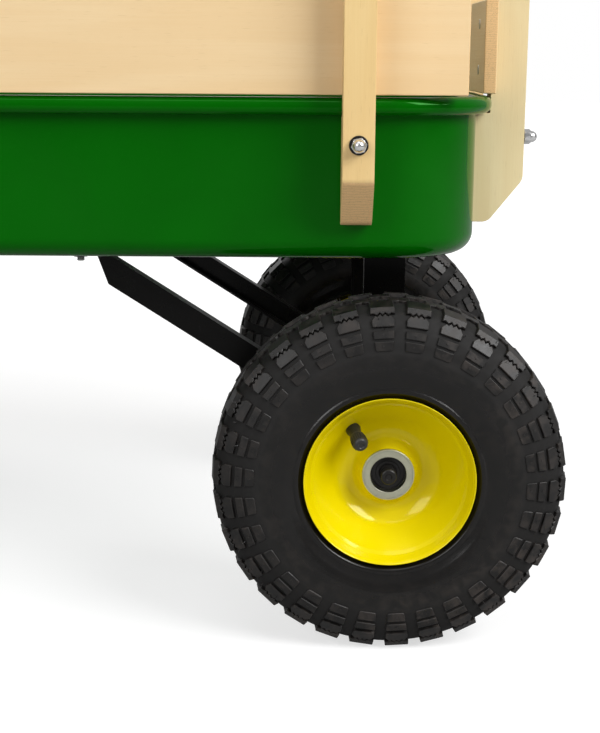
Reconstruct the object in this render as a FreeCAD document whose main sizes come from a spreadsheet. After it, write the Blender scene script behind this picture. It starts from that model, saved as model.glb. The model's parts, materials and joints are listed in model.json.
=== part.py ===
"""A pull-along stake-sided wagon: steel tray, wooden racks, steered front axle and loop handle.

Millimetres. +X is forwards, +Y is the wagon's left and +Z is up. The origin is on the floor,
under the middle of the whole wagon with its handle laid down.
"""
import FreeCAD, Part
import math
import os
import re
import Sketcher

Vector = FreeCAD.Vector

# Driving dimensions, one row each: name, size in millimetres (or degrees, or a count), meaning.
SIZES = (
    ("front_overhang", 138.7, "front wall ahead of the front axle"),
    ("wheel_track", 440, "left tyre's middle to right tyre's middle"),
    ("tyre_radius", 130, "wheel centre to tread"),
    ("tyre_width", 88, "tyre over its bulged sides"),
    ("tread_width", 56, "flat crown of the tread"),
    ("tyre_shoulder", 9, "drop from the crown to the tread's edge"),
    ("tread_edge", 76, "tyre over the tread's edges"),
    ("tyre_crown", 12, "rubber under the crown's grooves"),
    ("lug_count", 30, "lugs round the tyre"),
    ("lug_width", 17.6, "lug along the tread"),
    ("lug_height", 3.6, "lug above the grooves of the crown"),
    ("lug_reach", 26, "lug's foot on the tyre's side, below the crown"),
    ("lug_turn", 1.5, "nearest lug's angle from the valve, forwards on the left"),
    ("rim_width", 80, "over both flange lips"),
    ("rim_flange_radius", 62.5, "flange lip"),
    ("rim_sheet", 1.8, "edge of the flange lip"),
    ("rim_hump_radius", 60.5, "flange under the tyre's side"),
    ("rim_hump_half", 33, "the same, out from the wheel's middle"),
    ("rim_heel_radius", 58, "seat's outer end"),
    ("rim_heel_half", 28, "the same, out from the wheel's middle"),
    ("rim_seat_radius", 50.8, "seat's inner end"),
    ("rim_seat_half", 20, "the same, out from the wheel's middle"),
    ("rim_well_radius", 43, "well between the seats"),
    ("rim_well_half", 7, "the same, out from the wheel's middle"),
    ("rim_roll_radius", 60, "inside of the rolled flange"),
    ("rim_roll_half", 36.5, "the same, out from the wheel's middle"),
    ("rim_step_radius", 57.5, "step inside the flange"),
    ("rim_step_half", 31, "the same, out from the wheel's middle"),
    ("rim_step", 2.3, "the step's size"),
    ("rim_bowl_radius", 40, "lower end of the bowl's slope"),
    ("rim_bowl_half", 8, "the same, out from the wheel's middle"),
    ("rim_dish_radius", 30, "lowest ring of the dish"),
    ("rim_dish_half", 3, "the same, out from the wheel's middle"),
    ("rim_nose_radius", 24, "foot of the nose round the hub"),
    ("rim_nose_half", 5, "the same, out from the wheel's middle"),
    ("rim_collar_radius", 20.5, "top of the nose"),
    ("rim_collar_half", 12, "the same, out from the wheel's middle"),
    ("rim_collar_end", 16, "nose's edge on the hub, out from the wheel's middle"),
    ("hub_radius", 19.3, "outside of the hub tube"),
    ("hub_outboard", 18, "hub from the wheel's middle to its outer end"),
    ("hub_inboard", 30, "hub from the wheel's middle to its inner end"),
    ("bearing_radius", 13.2, "mouth of the bearing recess in each hub end"),
    ("bearing_depth", 5, "depth of the bearing recess"),
    ("axle_radius", 6.35, "axle rod"),
    ("axle_play", 0.06, "gap round the axle in the hub"),
    ("axle_tip", 7, "axle beyond the hub's outer end"),
    ("axle_tip_radius", 6, "turned tip of the axle, for its retaining cap"),
    ("spacer_radius", 9.5, "spacer on the axle between bracket and hub"),
    ("running_gap", 0.5, "gap between flat faces that turn on each other"),
    ("valve_turn", 38, "valve's angle from the top of the wheel, forwards on the left"),
    ("valve_radius", 4.5, "valve stem"),
    ("valve_cap_radius", 6, "valve cap"),
    ("valve_foot_radius", 46, "valve's inner end, out from the axle"),
    ("valve_foot_half", 6, "the same, out from the wheel's middle"),
    ("valve_lean", 22, "valve's lean towards the hub"),
    ("valve_length", 32, "valve from its inner end to the cap's end"),
    ("valve_cap_length", 12, "valve cap"),
    ("tray_length", 891, "tray over its end walls"),
    ("tray_width", 430, "tray over its side walls"),
    ("tray_depth", 117, "tray from underside to the top of the bead"),
    ("tray_sheet", 1.5, "sheet thickness"),
    ("tray_corner", 70, "outer corner radius seen from above"),
    ("tray_bend", 15, "outer bend between wall and floor"),
    ("tray_overhang", 66.3, "rear wall behind the rear axle"),
    ("tray_height", 285, "floor's underside above the ground"),
    ("bead_size", 13, "rolled bead, across"),
    ("bead_round", 6, "outer corner radius of the bead's section"),
    ("bead_slot", 2.5, "slot left between the bead's edge and the wall"),
    ("stake_width", 22.3, "stake along the wall"),
    ("stake_depth", 38.5, "stake out from the wall, below the bead"),
    ("stake_upper", 26, "stake out from the slats, above the bead"),
    ("stake_toe", 32.6, "height of the slant at the stake's foot"),
    ("stake_round", 8, "rounding where the slant begins and ends"),
    ("stake_foot", 27, "side stake's foot above the tray's underside"),
    ("end_stake_drop", 6.5, "end stake's foot lower than a side stake's"),
    ("stake_tip", 11, "stake above the top slat"),
    ("notch_gap", 0.5, "gap between the bead and the stake's notch"),
    ("side_stakes", 3, "stakes on each side"),
    ("side_stake_margin", 22.3, "outermost side stake in from where the corner bend begins"),
    ("end_stakes", 2, "stakes on each end"),
    ("end_stake_margin", 15, "outermost end stake in from where the corner bend begins"),
    ("slat_thickness", 9.5, "slat"),
    ("slat_height", 68, "slat"),
    ("slat_gap", 34, "between slats"),
    ("slat_lift", 1.5, "lowest slat above the bead"),
    ("rack_slats", 2, "slats on each side"),
    ("side_slat_inset", 14.7, "side slat's end in from the end wall"),
    ("end_slat_inset", 50, "end slat's end in from the side wall"),
    ("rack_bolt_height", 85.3, "rack bolts above the tray's underside"),
    ("rack_bolt_radius", 3, "rack bolt's shank"),
    ("rack_head_radius", 7, "rack bolt's round head, inside the tray"),
    ("rack_head_height", 3, "rack bolt's round head"),
    ("nut_flats", 10, "cap nut across its flats"),
    ("nut_height", 6, "cap nut's hexagon"),
    ("nut_dome", 4, "cap nut's dome above the hexagon"),
    ("nut_dome_radius", 4.7, "cap nut's dome"),
    ("nut_dome_round", 3.6, "rounding of the dome's top"),
    ("nut_washer_radius", 6.75, "washer under the cap nut"),
    ("nut_washer_height", 1.2, "washer under the cap nut"),
    ("channel_width", 32, "axle bracket's legs, along the wagon"),
    ("channel_flange", 14, "inward flanges of legs and braces"),
    ("channel_sheet", 2.5, "sheet of brackets and braces"),
    ("bracket_span", 286, "axle bracket over its legs"),
    ("bracket_foot", 15, "leg below the axle's centre"),
    ("bracket_plate", 3, "bracket's top plate"),
    ("bracket_bolt_span", 140, "bolts of the rear bracket, across the wagon"),
    ("brace_width", 20, "brace, across its web"),
    ("brace_run", 244, "where the brace's middle line meets the tray, ahead of the axle"),
    ("brace_end_lean", 10, "slant of the brace's upper end"),
    ("brace_tab", 24, "tab of the brace under the tray"),
    ("frame_bolt_radius", 3, "frame bolt's shank"),
    ("frame_head_radius", 7, "frame bolt's round head, inside the tray"),
    ("frame_head_height", 3, "frame bolt's round head"),
    ("frame_head_round", 2.4, "rounding of the round head's rim"),
    ("frame_nut_flats", 10, "frame bolt's nut across its flats"),
    ("frame_nut_height", 6, "frame bolt's nut"),
    ("frame_bolt_tail", 4, "frame bolt below its nut"),
    ("pivot_plate_length", 150, "pivot plate along the wagon"),
    ("pivot_plate_width", 104, "pivot plate across the wagon"),
    ("pivot_plate_sheet", 3, "pivot plate"),
    ("pivot_plate_corner", 14, "pivot plate's corners"),
    ("pivot_bolt_length", 124, "pivot plate's bolts along the wagon"),
    ("pivot_bolt_width", 78, "pivot plate's bolts across the wagon"),
    ("turntable_radius", 50, "turntable disc"),
    ("turntable_sheet", 4, "turntable disc"),
    ("kingpin_radius", 6, "kingpin"),
    ("kingpin_play", 0.08, "gap round the kingpin"),
    ("kingpin_head_radius", 13, "kingpin's round head, inside the tray"),
    ("kingpin_head_height", 5, "kingpin's round head"),
    ("kingpin_head_round", 4, "rounding of the kingpin's head"),
    ("kingpin_nut_flats", 19, "kingpin's nut across its flats"),
    ("kingpin_nut_height", 9, "kingpin's nut"),
    ("hitch_ahead", 215, "handle's pivot ahead of the front axle"),
    ("hitch_height", 165, "handle's pivot above the ground"),
    ("tongue_height", 25, "tongue arm's bar"),
    ("tongue_sheet", 5, "tongue arm's bar"),
    ("tongue_bend", 12, "bend radius of the tongue arm's middle line"),
    ("tongue_ear", 40, "straight ear behind the handle's pivot"),
    ("tongue_nose", 14, "ear ahead of the handle's pivot"),
    ("pin_radius", 5, "handle's pivot pin"),
    ("pin_play", 0.08, "gap round the pivot pin in the yoke"),
    ("pin_head_radius", 9, "pivot pin's heads"),
    ("pin_head_height", 5, "pivot pin's heads"),
    ("yoke_thickness", 20, "handle's yoke across the wagon"),
    ("yoke_height", 24, "handle's yoke"),
    ("yoke_nose_round", 11.5, "rounding of the yoke's nose"),
    ("yoke_length", 55, "yoke from the pivot to the shaft"),
    ("yoke_plug", 30, "yoke's plug inside the shaft"),
    ("plug_play", 0.05, "gap round the plug"),
    ("handle_length", 760, "handle's pivot to the middle of its grip"),
    ("shaft_radius", 11, "handle's shaft"),
    ("shaft_sheet", 1.5, "wall of the shaft's tube"),
    ("loop_depth", 105, "hand loop along the handle"),
    ("loop_root", 52, "hand loop's width at the shaft"),
    ("loop_width", 132, "hand loop's width at the grip"),
    ("loop_bar_radius", 7, "bar of the hand loop"),
    ("loop_root_bend", 14, "bend radius at the shaft"),
    ("loop_grip_bend", 14, "bend radius at the grip"),
    ("grip_radius", 13, "grip sleeve"),
    ("grip_length", 84, "grip sleeve"),
)

# Places that follow from the sizes: name, formula, meaning.
LAYOUT = (
    ("handle_drop", "asin((hitch_height - grip_radius) / handle_length)", "handle below level"),
    ("bead_reach", "bead_size - tray_sheet", "bead out from the wall"),
    ("wheelbase", "tray_length - tray_overhang - front_overhang", "rear axle to front axle"),
    ("side_stake_span", "tray_length - 2 * (tray_corner + side_stake_margin)", "first to last side stake"),
    ("end_stake_span", "tray_width - 2 * (tray_corner + end_stake_margin)", "first to last end stake"),
    ("side_slat_length", "tray_length - 2 * side_slat_inset", "side slats"),
    ("end_slat_length", "tray_width - 2 * end_slat_inset", "end slats"),
    ("nut_reach", "nut_washer_height + nut_height + nut_dome", "cap nut out from its stake"),
    ("rear_reach",
     "max(tyre_radius; tray_overhang + stake_depth + nut_reach)",
     "rearmost point behind the rear axle"),
    ("front_reach",
     "wheelbase + hitch_ahead + handle_length * cos(handle_drop) + grip_radius",
     "foremost point ahead of the rear axle"),
    ("rear_axle_x", "(rear_reach - front_reach) / 2", "rear axle"),
    ("front_axle_x", "rear_axle_x + wheelbase", "front axle and kingpin"),
    ("hitch_x", "front_axle_x + hitch_ahead", "handle's pivot"),
    ("tray_mid_x", "rear_axle_x - tray_overhang + tray_length / 2", "middle of the tray"),
    ("tray_top", "tray_height + tray_depth", "top of the bead"),
    ("bend_end", "tray_bend + tray_sheet", "where the flat floor begins, in from the wall"),
    ("floor_top", "tray_height + tray_sheet", "load floor"),
    ("bead_bottom", "tray_top - bead_size", "underside of the bead"),
    ("stake_top",
     "tray_top + slat_lift + rack_slats * slat_height + (rack_slats - 1) * slat_gap + stake_tip",
     "stake's top"),
    ("wheel_y", "wheel_track / 2", "wheel's middle plane"),
    ("leg_outer", "bracket_span / 2", "leg's outer face"),
    ("leg_inner", "leg_outer - channel_sheet", "inside of the leg's web"),
    ("flange_inner", "leg_outer - channel_flange", "inner edge of leg and brace flanges"),
    ("leg_foot", "tyre_radius - bracket_foot", "leg's lower end"),
    ("spacer_end", "wheel_y - hub_inboard - running_gap", "outer end of the axle's spacer"),
    ("axle_step", "wheel_y + hub_outboard + running_gap", "where the axle's turned tip begins"),
    ("axle_end", "wheel_y + hub_outboard + axle_tip", "axle's end"),
    ("front_bracket_top",
     "tray_height - pivot_plate_sheet - running_gap - turntable_sheet",
     "top of the front bracket"),
    ("brace_slope", "atan((tray_height - tyre_radius) / brace_run)", "brace above level"),
    ("brace_half", "brace_width / 2 / cos(brace_slope)", "half of the brace's web, upright"),
    ("brace_skin", "channel_sheet / cos(brace_slope)", "the brace's sheet, upright"),
    ("brace_foot", "channel_width / 2", "brace's lower end ahead of the axle"),
    ("brace_knee", "brace_run - brace_half / tan(brace_slope)", "bend from brace to tab"),
    ("brace_toe", "brace_knee - brace_end_lean", "lower corner of the brace's upper end"),
    ("tab_bolt_x", "brace_knee + brace_tab / 2", "tab's bolt ahead of the rear axle"),
    ("tab_bolt_y", "leg_outer - channel_flange / 2", "tab's bolt"),
    ("ear_middle", "yoke_thickness / 2 + running_gap + tongue_sheet / 2", "middle of each tongue ear"),
    ("pin_reach", "ear_middle + tongue_sheet / 2", "outer face of each tongue ear"),
)

# Bolts of the pivot plate, out from the kingpin.
PIVOT_BOLTS = [("%spivot_bolt_length / 2" % end, "%spivot_bolt_width / 2" % side)
               for end in ("-", "") for side in ("-", "")]

# A rack's stake count, its stakes' span, its stakes' drop and its slats' length.
SIDE = "side_stakes", "side_stake_span", "0", "side_slat_length"
END = "end_stakes", "end_stake_span", "end_stake_drop", "end_slat_length"

os.makedirs("parts", exist_ok=True)
doc = FreeCAD.newDocument("Wagon")
sizes = doc.addObject("Spreadsheet::Sheet", "Sizes")
layout = doc.addObject("Spreadsheet::Sheet", "Layout")
size_names = {name for name, _, _ in SIZES}
layout_names = {name for name, _, _ in LAYOUT}
nodes = []


def formula(text, inside_layout=False):
    """Put each name's sheet in front of it, so that a formula reads in plain names."""
    def place(match):
        name = match.group(0)
        if name in size_names:
            return "Sizes." + name
        if name in layout_names and not inside_layout:
            return "Layout." + name
        return name
    return re.sub(r"[a-z][a-z_]*", place, str(text))


def value(text):
    """A formula's number as the sheets stand."""
    result = sizes.evalExpression(formula(text))
    return float(getattr(result, "Value", result))


def bind(thing, prop, text):
    """Tie one property to a formula."""
    thing.setExpression(prop, formula(text))


for row, (name, size, meaning) in enumerate(SIZES, 1):
    sizes.set("A%d" % row, name)
    sizes.set("B%d" % row, str(size))
    sizes.set("C%d" % row, meaning)
    sizes.setAlias("B%d" % row, name)
doc.recompute()
for row, (name, text, meaning) in enumerate(LAYOUT, 1):
    layout.set("A%d" % row, name)
    layout.set("B%d" % row, "=" + formula(text, inside_layout=True))
    layout.set("C%d" % row, meaning)
    layout.setAlias("B%d" % row, name)
    doc.recompute()


def new_body(name, at=("0", "0", "0"), turn="0", axis=(0, 0, 1)):
    """A sub-part's body, placed and turned by formulas; it may hold several solids."""
    body = doc.addObject("PartDesign::Body", name)
    body.Label = name
    body.AllowCompound = True
    body.Placement = FreeCAD.Placement(Vector(), FreeCAD.Rotation(Vector(*axis), 1))
    bind(body, "Placement.Rotation.Angle", turn)
    for way, text in zip("xyz", at):
        bind(body, "Placement.Base." + way, text)
    nodes.append(body)
    return body


def origin_part(body, role):
    """One of the body's own planes or axes."""
    return next(item for item in body.Origin.OriginFeatures if item.Role == role)


def new_sketch(body, plane, lift):
    """An empty sketch on one of the body's planes, lifted along the plane's normal."""
    sketch = body.newObject("Sketcher::SketchObject", body.Name + "_sketch")
    sketch.AttachmentSupport = (origin_part(body, plane), [""])
    sketch.MapMode = "FlatFace"
    bind(sketch, "AttachmentOffset.Base.z", lift)
    return sketch


def pin_point(sketch, geometry, vertex, across, up):
    """Hold a sketch point at two formulas."""
    for kind, text in (("DistanceX", across), ("DistanceY", up)):
        index = sketch.addConstraint(
            Sketcher.Constraint(kind, -1, 1, geometry, vertex, value(text)))
        sketch.setExpression("Constraints[%d]" % index, formula(text))


def corner_cut(before, corner, after, radius):
    """Where a round corner's arc meets its two sides, and the arc, drawn anticlockwise."""
    back = (before - corner).normalize()
    ahead = (after - corner).normalize()
    cosine = back.dot(ahead)
    reach = radius * ((1 + cosine) / (1 - cosine)) ** 0.5
    start = corner + back * reach
    end = corner + ahead * reach
    centre = corner + (back + ahead).normalize() * (reach ** 2 + radius ** 2) ** 0.5
    left_turn = back.cross(ahead).z < 0
    first, last = (start, end) if left_turn else (end, start)
    angles = [math.atan2(spot.y - centre.y, spot.x - centre.x) for spot in (first, last)]
    if angles[1] < angles[0]:
        angles[1] += 2 * math.pi
    arc = Part.ArcOfCircle(Part.Circle(centre, Vector(0, 0, 1), radius), *angles)
    return start, end, arc, left_turn


def outline(body, plane, points, lift="0", closed=True):
    """A chain of straight sides. A point is two formulas, and a third one rounds its corner."""
    sketch = new_sketch(body, plane, lift)
    spots = [Vector(value(point[0]), value(point[1]), 0) for point in points]
    count = len(points)
    sides = count if closed else count - 1
    cuts = {}
    for i, point in enumerate(points):
        if len(point) > 2:
            cuts[i] = corner_cut(spots[i - 1], spots[i], spots[(i + 1) % count], value(point[2]))
    for i in range(sides):
        after = (i + 1) % count
        start = cuts[i][1] if i in cuts else spots[i]
        end = cuts[after][0] if after in cuts else spots[after]
        sketch.addGeometry(Part.LineSegment(start, end))
    for i, point in enumerate(points):
        before = (i - 1) % count
        if i in cuts:
            arc = sketch.addGeometry(cuts[i][2])
            first, last = (1, 2) if cuts[i][3] else (2, 1)
            sketch.addConstraint(Sketcher.Constraint("Tangent", before, 2, arc, first))
            sketch.addConstraint(Sketcher.Constraint("Tangent", arc, last, i, 1))
            index = sketch.addConstraint(Sketcher.Constraint("Radius", arc, value(point[2])))
            sketch.setExpression("Constraints[%d]" % index, formula(point[2]))
            corner = sketch.addGeometry(Part.Point(spots[i]), True)
            sketch.addConstraint(Sketcher.Constraint("PointOnObject", corner, 1, before))
            sketch.addConstraint(Sketcher.Constraint("PointOnObject", corner, 1, i))
            pin_point(sketch, corner, 1, point[0], point[1])
        elif closed or 0 < i < count - 1:
            sketch.addConstraint(Sketcher.Constraint("Coincident", before, 2, i, 1))
            pin_point(sketch, i, 1, point[0], point[1])
        elif i == 0:
            pin_point(sketch, 0, 1, point[0], point[1])
        else:
            pin_point(sketch, i - 1, 2, point[0], point[1])
    return sketch


def circles(body, plane, rounds, lift="0"):
    """A sketch of circles, each a centre and a radius as three formulas."""
    sketch = new_sketch(body, plane, lift)
    for across, up, radius in rounds:
        centre = Vector(value(across), value(up), 0)
        index = sketch.addGeometry(Part.Circle(centre, Vector(0, 0, 1), value(radius)))
        pin_point(sketch, index, 3, across, up)
        number = sketch.addConstraint(Sketcher.Constraint("Radius", index, value(radius)))
        sketch.setExpression("Constraints[%d]" % number, formula(radius))
    return sketch


def rectangle(left, low, right, high):
    """The four corners of an upright rectangle."""
    return [(left, low), (right, low), (right, high), (left, high)]


def even_corners(count, reach):
    """The corners of a regular polygon, this far from its middle."""
    step = 360 // count
    return [("%s * cos(%d)" % (reach, turn), "%s * sin(%d)" % (reach, turn)) for turn in range(0, 360, step)]


def hexagon(flats):
    """The six corners of a hexagon of this width across its flats."""
    return even_corners(6, "%s / 2 / cos(30)" % flats)


def finish(body, feature):
    """Make this feature the body's latest and work it out."""
    body.Tip = feature
    doc.recompute()
    return feature


def pad(body, sketch, length, both_ways=False, down=False):
    """Thicken a sketch by a formula, upwards along its normal unless told otherwise."""
    feature = body.newObject("PartDesign::Pad", body.Name + "_pad")
    feature.Profile = sketch
    bind(feature, "Length", length)
    feature.SideType = "Symmetric" if both_ways else "One side"
    feature.Reversed = down
    return finish(body, feature)


def pocket(body, sketch, depth, both_ways=False, up=False):
    """Cut a sketch's shape out by a formula's depth, down along its normal unless told otherwise."""
    before = body.Shape.Volume
    feature = body.newObject("PartDesign::Pocket", body.Name + "_pocket")
    feature.Profile = sketch
    bind(feature, "Length", depth)
    feature.SideType = "Symmetric" if both_ways else "One side"
    feature.Reversed = up
    finish(body, feature)
    if body.Shape.Volume >= before:
        raise RuntimeError("a cut in %s removes nothing" % body.Label)
    return feature


def revolve(body, sketch):
    """Turn a profile fully round the sketch's horizontal axis."""
    feature = body.newObject("PartDesign::Revolution", body.Name + "_revolution")
    feature.Profile = sketch
    feature.ReferenceAxis = (sketch, ["H_Axis"])
    feature.Angle = 360
    return finish(body, feature)


def sweep(body, profile, path):
    """Carry a section along a path."""
    feature = body.newObject("PartDesign::AdditivePipe", body.Name + "_pipe")
    feature.Profile = profile
    feature.Spine = (path, [])
    return finish(body, feature)


def row_of(body, axis, length, count, cut=None):
    """Repeat one cut, or else the whole body so far, in a straight row over this length."""
    feature = body.newObject("PartDesign::LinearPattern", body.Name + "_row")
    if cut:
        feature.Originals = [cut]
    else:
        feature.TransformMode = "Whole shape"
    feature.Direction = (origin_part(body, axis), [""])
    bind(feature, "Length", length)
    bind(feature, "Occurrences", count)
    return finish(body, feature)


def ring_of(body, count):
    """Repeat the whole body so far, evenly right round its Y axis."""
    feature = body.newObject("PartDesign::PolarPattern", body.Name + "_ring")
    feature.TransformMode = "Whole shape"
    feature.Axis = (origin_part(body, "Y_Axis"), [""])
    feature.Angle = 360
    bind(feature, "Occurrences", count)
    return finish(body, feature)


def round_edges(body, radius, chosen):
    """Round the edges of the body's latest shape that the test picks."""
    base = body.Tip
    names = ["Edge%d" % (i + 1) for i, edge in enumerate(base.Shape.Edges) if chosen(edge)]
    feature = body.newObject("PartDesign::Fillet", body.Name + "_fillet")
    feature.Base = (base, names)
    bind(feature, "Radius", radius)
    return finish(body, feature)


def level_edge(height):
    """A test for edges that lie flat at this height."""
    def test(edge):
        box = edge.BoundBox
        return abs(box.ZMin - height) < 0.01 and abs(box.ZMax - height) < 0.01
    return test


def wagon_plan(grow):
    """The tray's outline seen from above, grown by a formula, starting at the rear's middle."""
    back = "-tray_length / 2 - (%s)" % grow
    front = "tray_length / 2 + (%s)" % grow
    side = "tray_width / 2 + (%s)" % grow
    bend = "tray_corner + (%s)" % grow
    return [(back, "0"), (back, "-(%s)" % side, bend), (front, "-(%s)" % side, bend),
            (front, side, bend), (back, side, bend)]


def make_tray():
    """Pressed sheet tray with bent corners, a rolled bead and holes for its bolts."""
    body = new_body("tray", at=("tray_mid_x", "0", "0"))
    wall = "-tray_length / 2"
    curl = "bead_round - tray_sheet"
    section = [
        (wall + " + bend_end", "tray_height"),
        (wall, "tray_height", "tray_bend"),
        (wall, "tray_top - tray_sheet", curl),
        (wall + " - bead_reach + tray_sheet", "tray_top - tray_sheet", curl),
        (wall + " - bead_reach + tray_sheet", "bead_bottom + tray_sheet", curl),
        (wall + " - bead_slot", "bead_bottom + tray_sheet"),
        (wall + " - bead_slot", "bead_bottom"),
        (wall + " - bead_reach", "bead_bottom", "bead_round"),
        (wall + " - bead_reach", "tray_top", "bead_round"),
        (wall + " + tray_sheet", "tray_top", "bead_round"),
        (wall + " + tray_sheet", "floor_top", "tray_bend - tray_sheet"),
        (wall + " + bend_end", "floor_top"),
    ]
    path = outline(body, "XY_Plane", wagon_plan("0"), "tray_height")
    sweep(body, outline(body, "XZ_Plane", section), path)
    pad(body, outline(body, "XY_Plane", wagon_plan("-bend_end"), "tray_height"), "tray_sheet")
    floor_holes = [("front_axle_x - tray_mid_x", "0", "kingpin_radius")]
    floor_holes += [(x + " - tray_mid_x", y, "frame_bolt_radius") for x, y in frame_bolt_places()]
    pocket(body, circles(body, "XY_Plane", floor_holes, "floor_top"), "tray_sheet")
    for plane, axis, span, count, through in (
            ("XZ_Plane", "X_Axis", "side_stake_span", "side_stakes", "tray_width * 2"),
            ("YZ_Plane", "Y_Axis", "end_stake_span", "end_stakes", "tray_length * 2")):
        hole = [("-%s / 2" % span, "tray_height + rack_bolt_height", "rack_bolt_radius")]
        cut = pocket(body, circles(body, plane, hole), through, both_ways=True)
        row_of(body, axis, span, count, cut)


def frame_bolt_places():
    """Where the frame's bolts pass through the tray's floor."""
    places = []
    for side in ("-", ""):
        places.append(("rear_axle_x", side + "bracket_bolt_span / 2"))
        places.append(("rear_axle_x + tab_bolt_x", side + "tab_bolt_y"))
        for end in ("-", "+"):
            places.append(("front_axle_x %s pivot_bolt_length / 2" % end, side + "pivot_bolt_width / 2"))
    return places


def make_bracket(name, at, top, holes):
    """Axle bracket: a top plate with a channel leg at each end."""
    body = new_body(name, at=(at, "0", "0"))
    half = "channel_width / 2"
    plate = outline(body, "XY_Plane", rectangle("-" + half, "-leg_outer", half, "leg_outer"), top)
    pad(body, plate, "bracket_plate", down=True)
    for side in ("", "-"):
        channel = [
            ("-" + half, side + "flange_inner"),
            ("-" + half, side + "leg_outer"),
            (half, side + "leg_outer"),
            (half, side + "flange_inner"),
            (half + " - channel_sheet", side + "flange_inner"),
            (half + " - channel_sheet", side + "leg_inner"),
            ("channel_sheet - " + half, side + "leg_inner"),
            ("channel_sheet - " + half, side + "flange_inner"),
        ]
        sketch = outline(body, "XY_Plane", channel, top + " - bracket_plate")
        pad(body, sketch, top + " - bracket_plate - leg_foot", down=True)
    bore = circles(body, "XZ_Plane", [("0", "tyre_radius", "axle_radius")])
    pocket(body, bore, "bracket_span * 2", both_ways=True)
    pocket(body, circles(body, "XY_Plane", holes, top), "bracket_plate")


def make_brace(name, side):
    """Channel brace from the axle bracket's leg up to a tab under the tray."""
    body = new_body(name, at=("rear_axle_x", "0", "0"))
    start = "brace_foot"
    high = "tyre_radius + brace_half + %s * tan(brace_slope)"
    low = "tyre_radius - brace_half + %s * tan(brace_slope)"
    knee_low = "brace_knee + channel_sheet * tan(brace_slope / 2)"
    tab_end = "brace_knee + brace_tab"
    under = "tray_height - channel_sheet"
    upper = [
        (start, high % start),
        ("brace_knee", "tray_height"),
        (tab_end, "tray_height"),
        (tab_end, under),
        (knee_low, under),
        (start, (high % start) + " - brace_skin"),
    ]
    web = [
        (start, low % start),
        ("brace_toe", low % "brace_toe"),
        ("brace_knee", under),
        (start, (high % start) + " - brace_skin"),
    ]
    lower = [
        (start, low % start),
        ("brace_toe", low % "brace_toe"),
        ("brace_toe", (low % "brace_toe") + " + brace_skin"),
        (start, (low % start) + " + brace_skin"),
    ]
    outward = side < 0
    shift = "%d * leg_outer" % -side
    pad(body, outline(body, "XZ_Plane", upper, shift), "channel_flange", down=outward)
    pad(body, outline(body, "XZ_Plane", web, shift), "channel_sheet", down=outward)
    pad(body, outline(body, "XZ_Plane", lower, shift), "channel_flange", down=outward)
    hole = [("tab_bolt_x", "%d * tab_bolt_y" % side, "frame_bolt_radius")]
    pocket(body, circles(body, "XY_Plane", hole, "tray_height"), "channel_sheet")


def make_axle(name, at):
    """Axle rod with a spacer outside each leg and a turned tip at each end."""
    body = new_body(name, at=(at, "0", "tyre_radius"))
    rod = circles(body, "XZ_Plane", [("0", "0", "axle_radius")])
    pad(body, rod, "axle_step * 2", both_ways=True)
    tips = circles(body, "XZ_Plane", [("0", "0", "axle_tip_radius")])
    pad(body, tips, "axle_end * 2", both_ways=True)
    for side, outward in (("-", True), ("", False)):
        spacer = circles(body, "XZ_Plane", [("0", "0", "spacer_radius")], side + "leg_outer")
        pad(body, spacer, "spacer_end - leg_outer", down=outward)


def make_floor_bolts(name, at, places, grip):
    """Bolts with round heads on the load floor and nuts under the plate that they hold."""
    body = new_body(name, at=(at, "0", "0"))
    heads = circles(body, "XY_Plane", [(x, y, "frame_head_radius") for x, y in places], "floor_top")
    pad(body, heads, "frame_head_height")
    round_edges(body, "frame_head_round", level_edge(value("floor_top + frame_head_height")))
    shanks = circles(body, "XY_Plane", [(x, y, "frame_bolt_radius") for x, y in places], "floor_top")
    pad(body, shanks, "tray_sheet + (%s) + frame_nut_height + frame_bolt_tail" % grip, down=True)
    for x, y in places:
        corners = [("%s + %s" % (x, a), "%s + %s" % (y, b)) for a, b in hexagon("frame_nut_flats")]
        pad(body, outline(body, "XY_Plane", corners, "tray_height - (%s)" % grip),
            "frame_nut_height", down=True)


def make_pivot_plate():
    """Plate under the tray that the turntable turns against."""
    body = new_body("front_pivot_plate", at=("front_axle_x", "0", "0"))
    length, width, bend = "pivot_plate_length / 2", "pivot_plate_width / 2", "pivot_plate_corner"
    corners = [("-" + length, "-" + width, bend), (length, "-" + width, bend),
               (length, width, bend), ("-" + length, width, bend)]
    pad(body, outline(body, "XY_Plane", corners, "tray_height"), "pivot_plate_sheet", down=True)
    holes = [("0", "0", "kingpin_radius")]
    holes += [(x, y, "frame_bolt_radius") for x, y in PIVOT_BOLTS]
    pocket(body, circles(body, "XY_Plane", holes, "tray_height"), "pivot_plate_sheet")


def make_kingpin():
    """Bolt that the front axle steers about, with its nut under the front bracket."""
    body = new_body("kingpin", at=("front_axle_x", "0", "0"))
    centre = [("0", "0", "kingpin_head_radius")]
    pad(body, circles(body, "XY_Plane", centre, "floor_top"), "kingpin_head_height")
    round_edges(body, "kingpin_head_round", level_edge(value("floor_top + kingpin_head_height")))
    nut_top = "front_bracket_top - bracket_plate - running_gap"
    shank = circles(body, "XY_Plane", [("0", "0", "kingpin_radius")], "floor_top")
    pad(body, shank, "floor_top - (%s) + kingpin_nut_height + frame_bolt_tail" % nut_top, down=True)
    nut = outline(body, "XY_Plane", hexagon("kingpin_nut_flats"), nut_top)
    pad(body, nut, "kingpin_nut_height", down=True)


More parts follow.
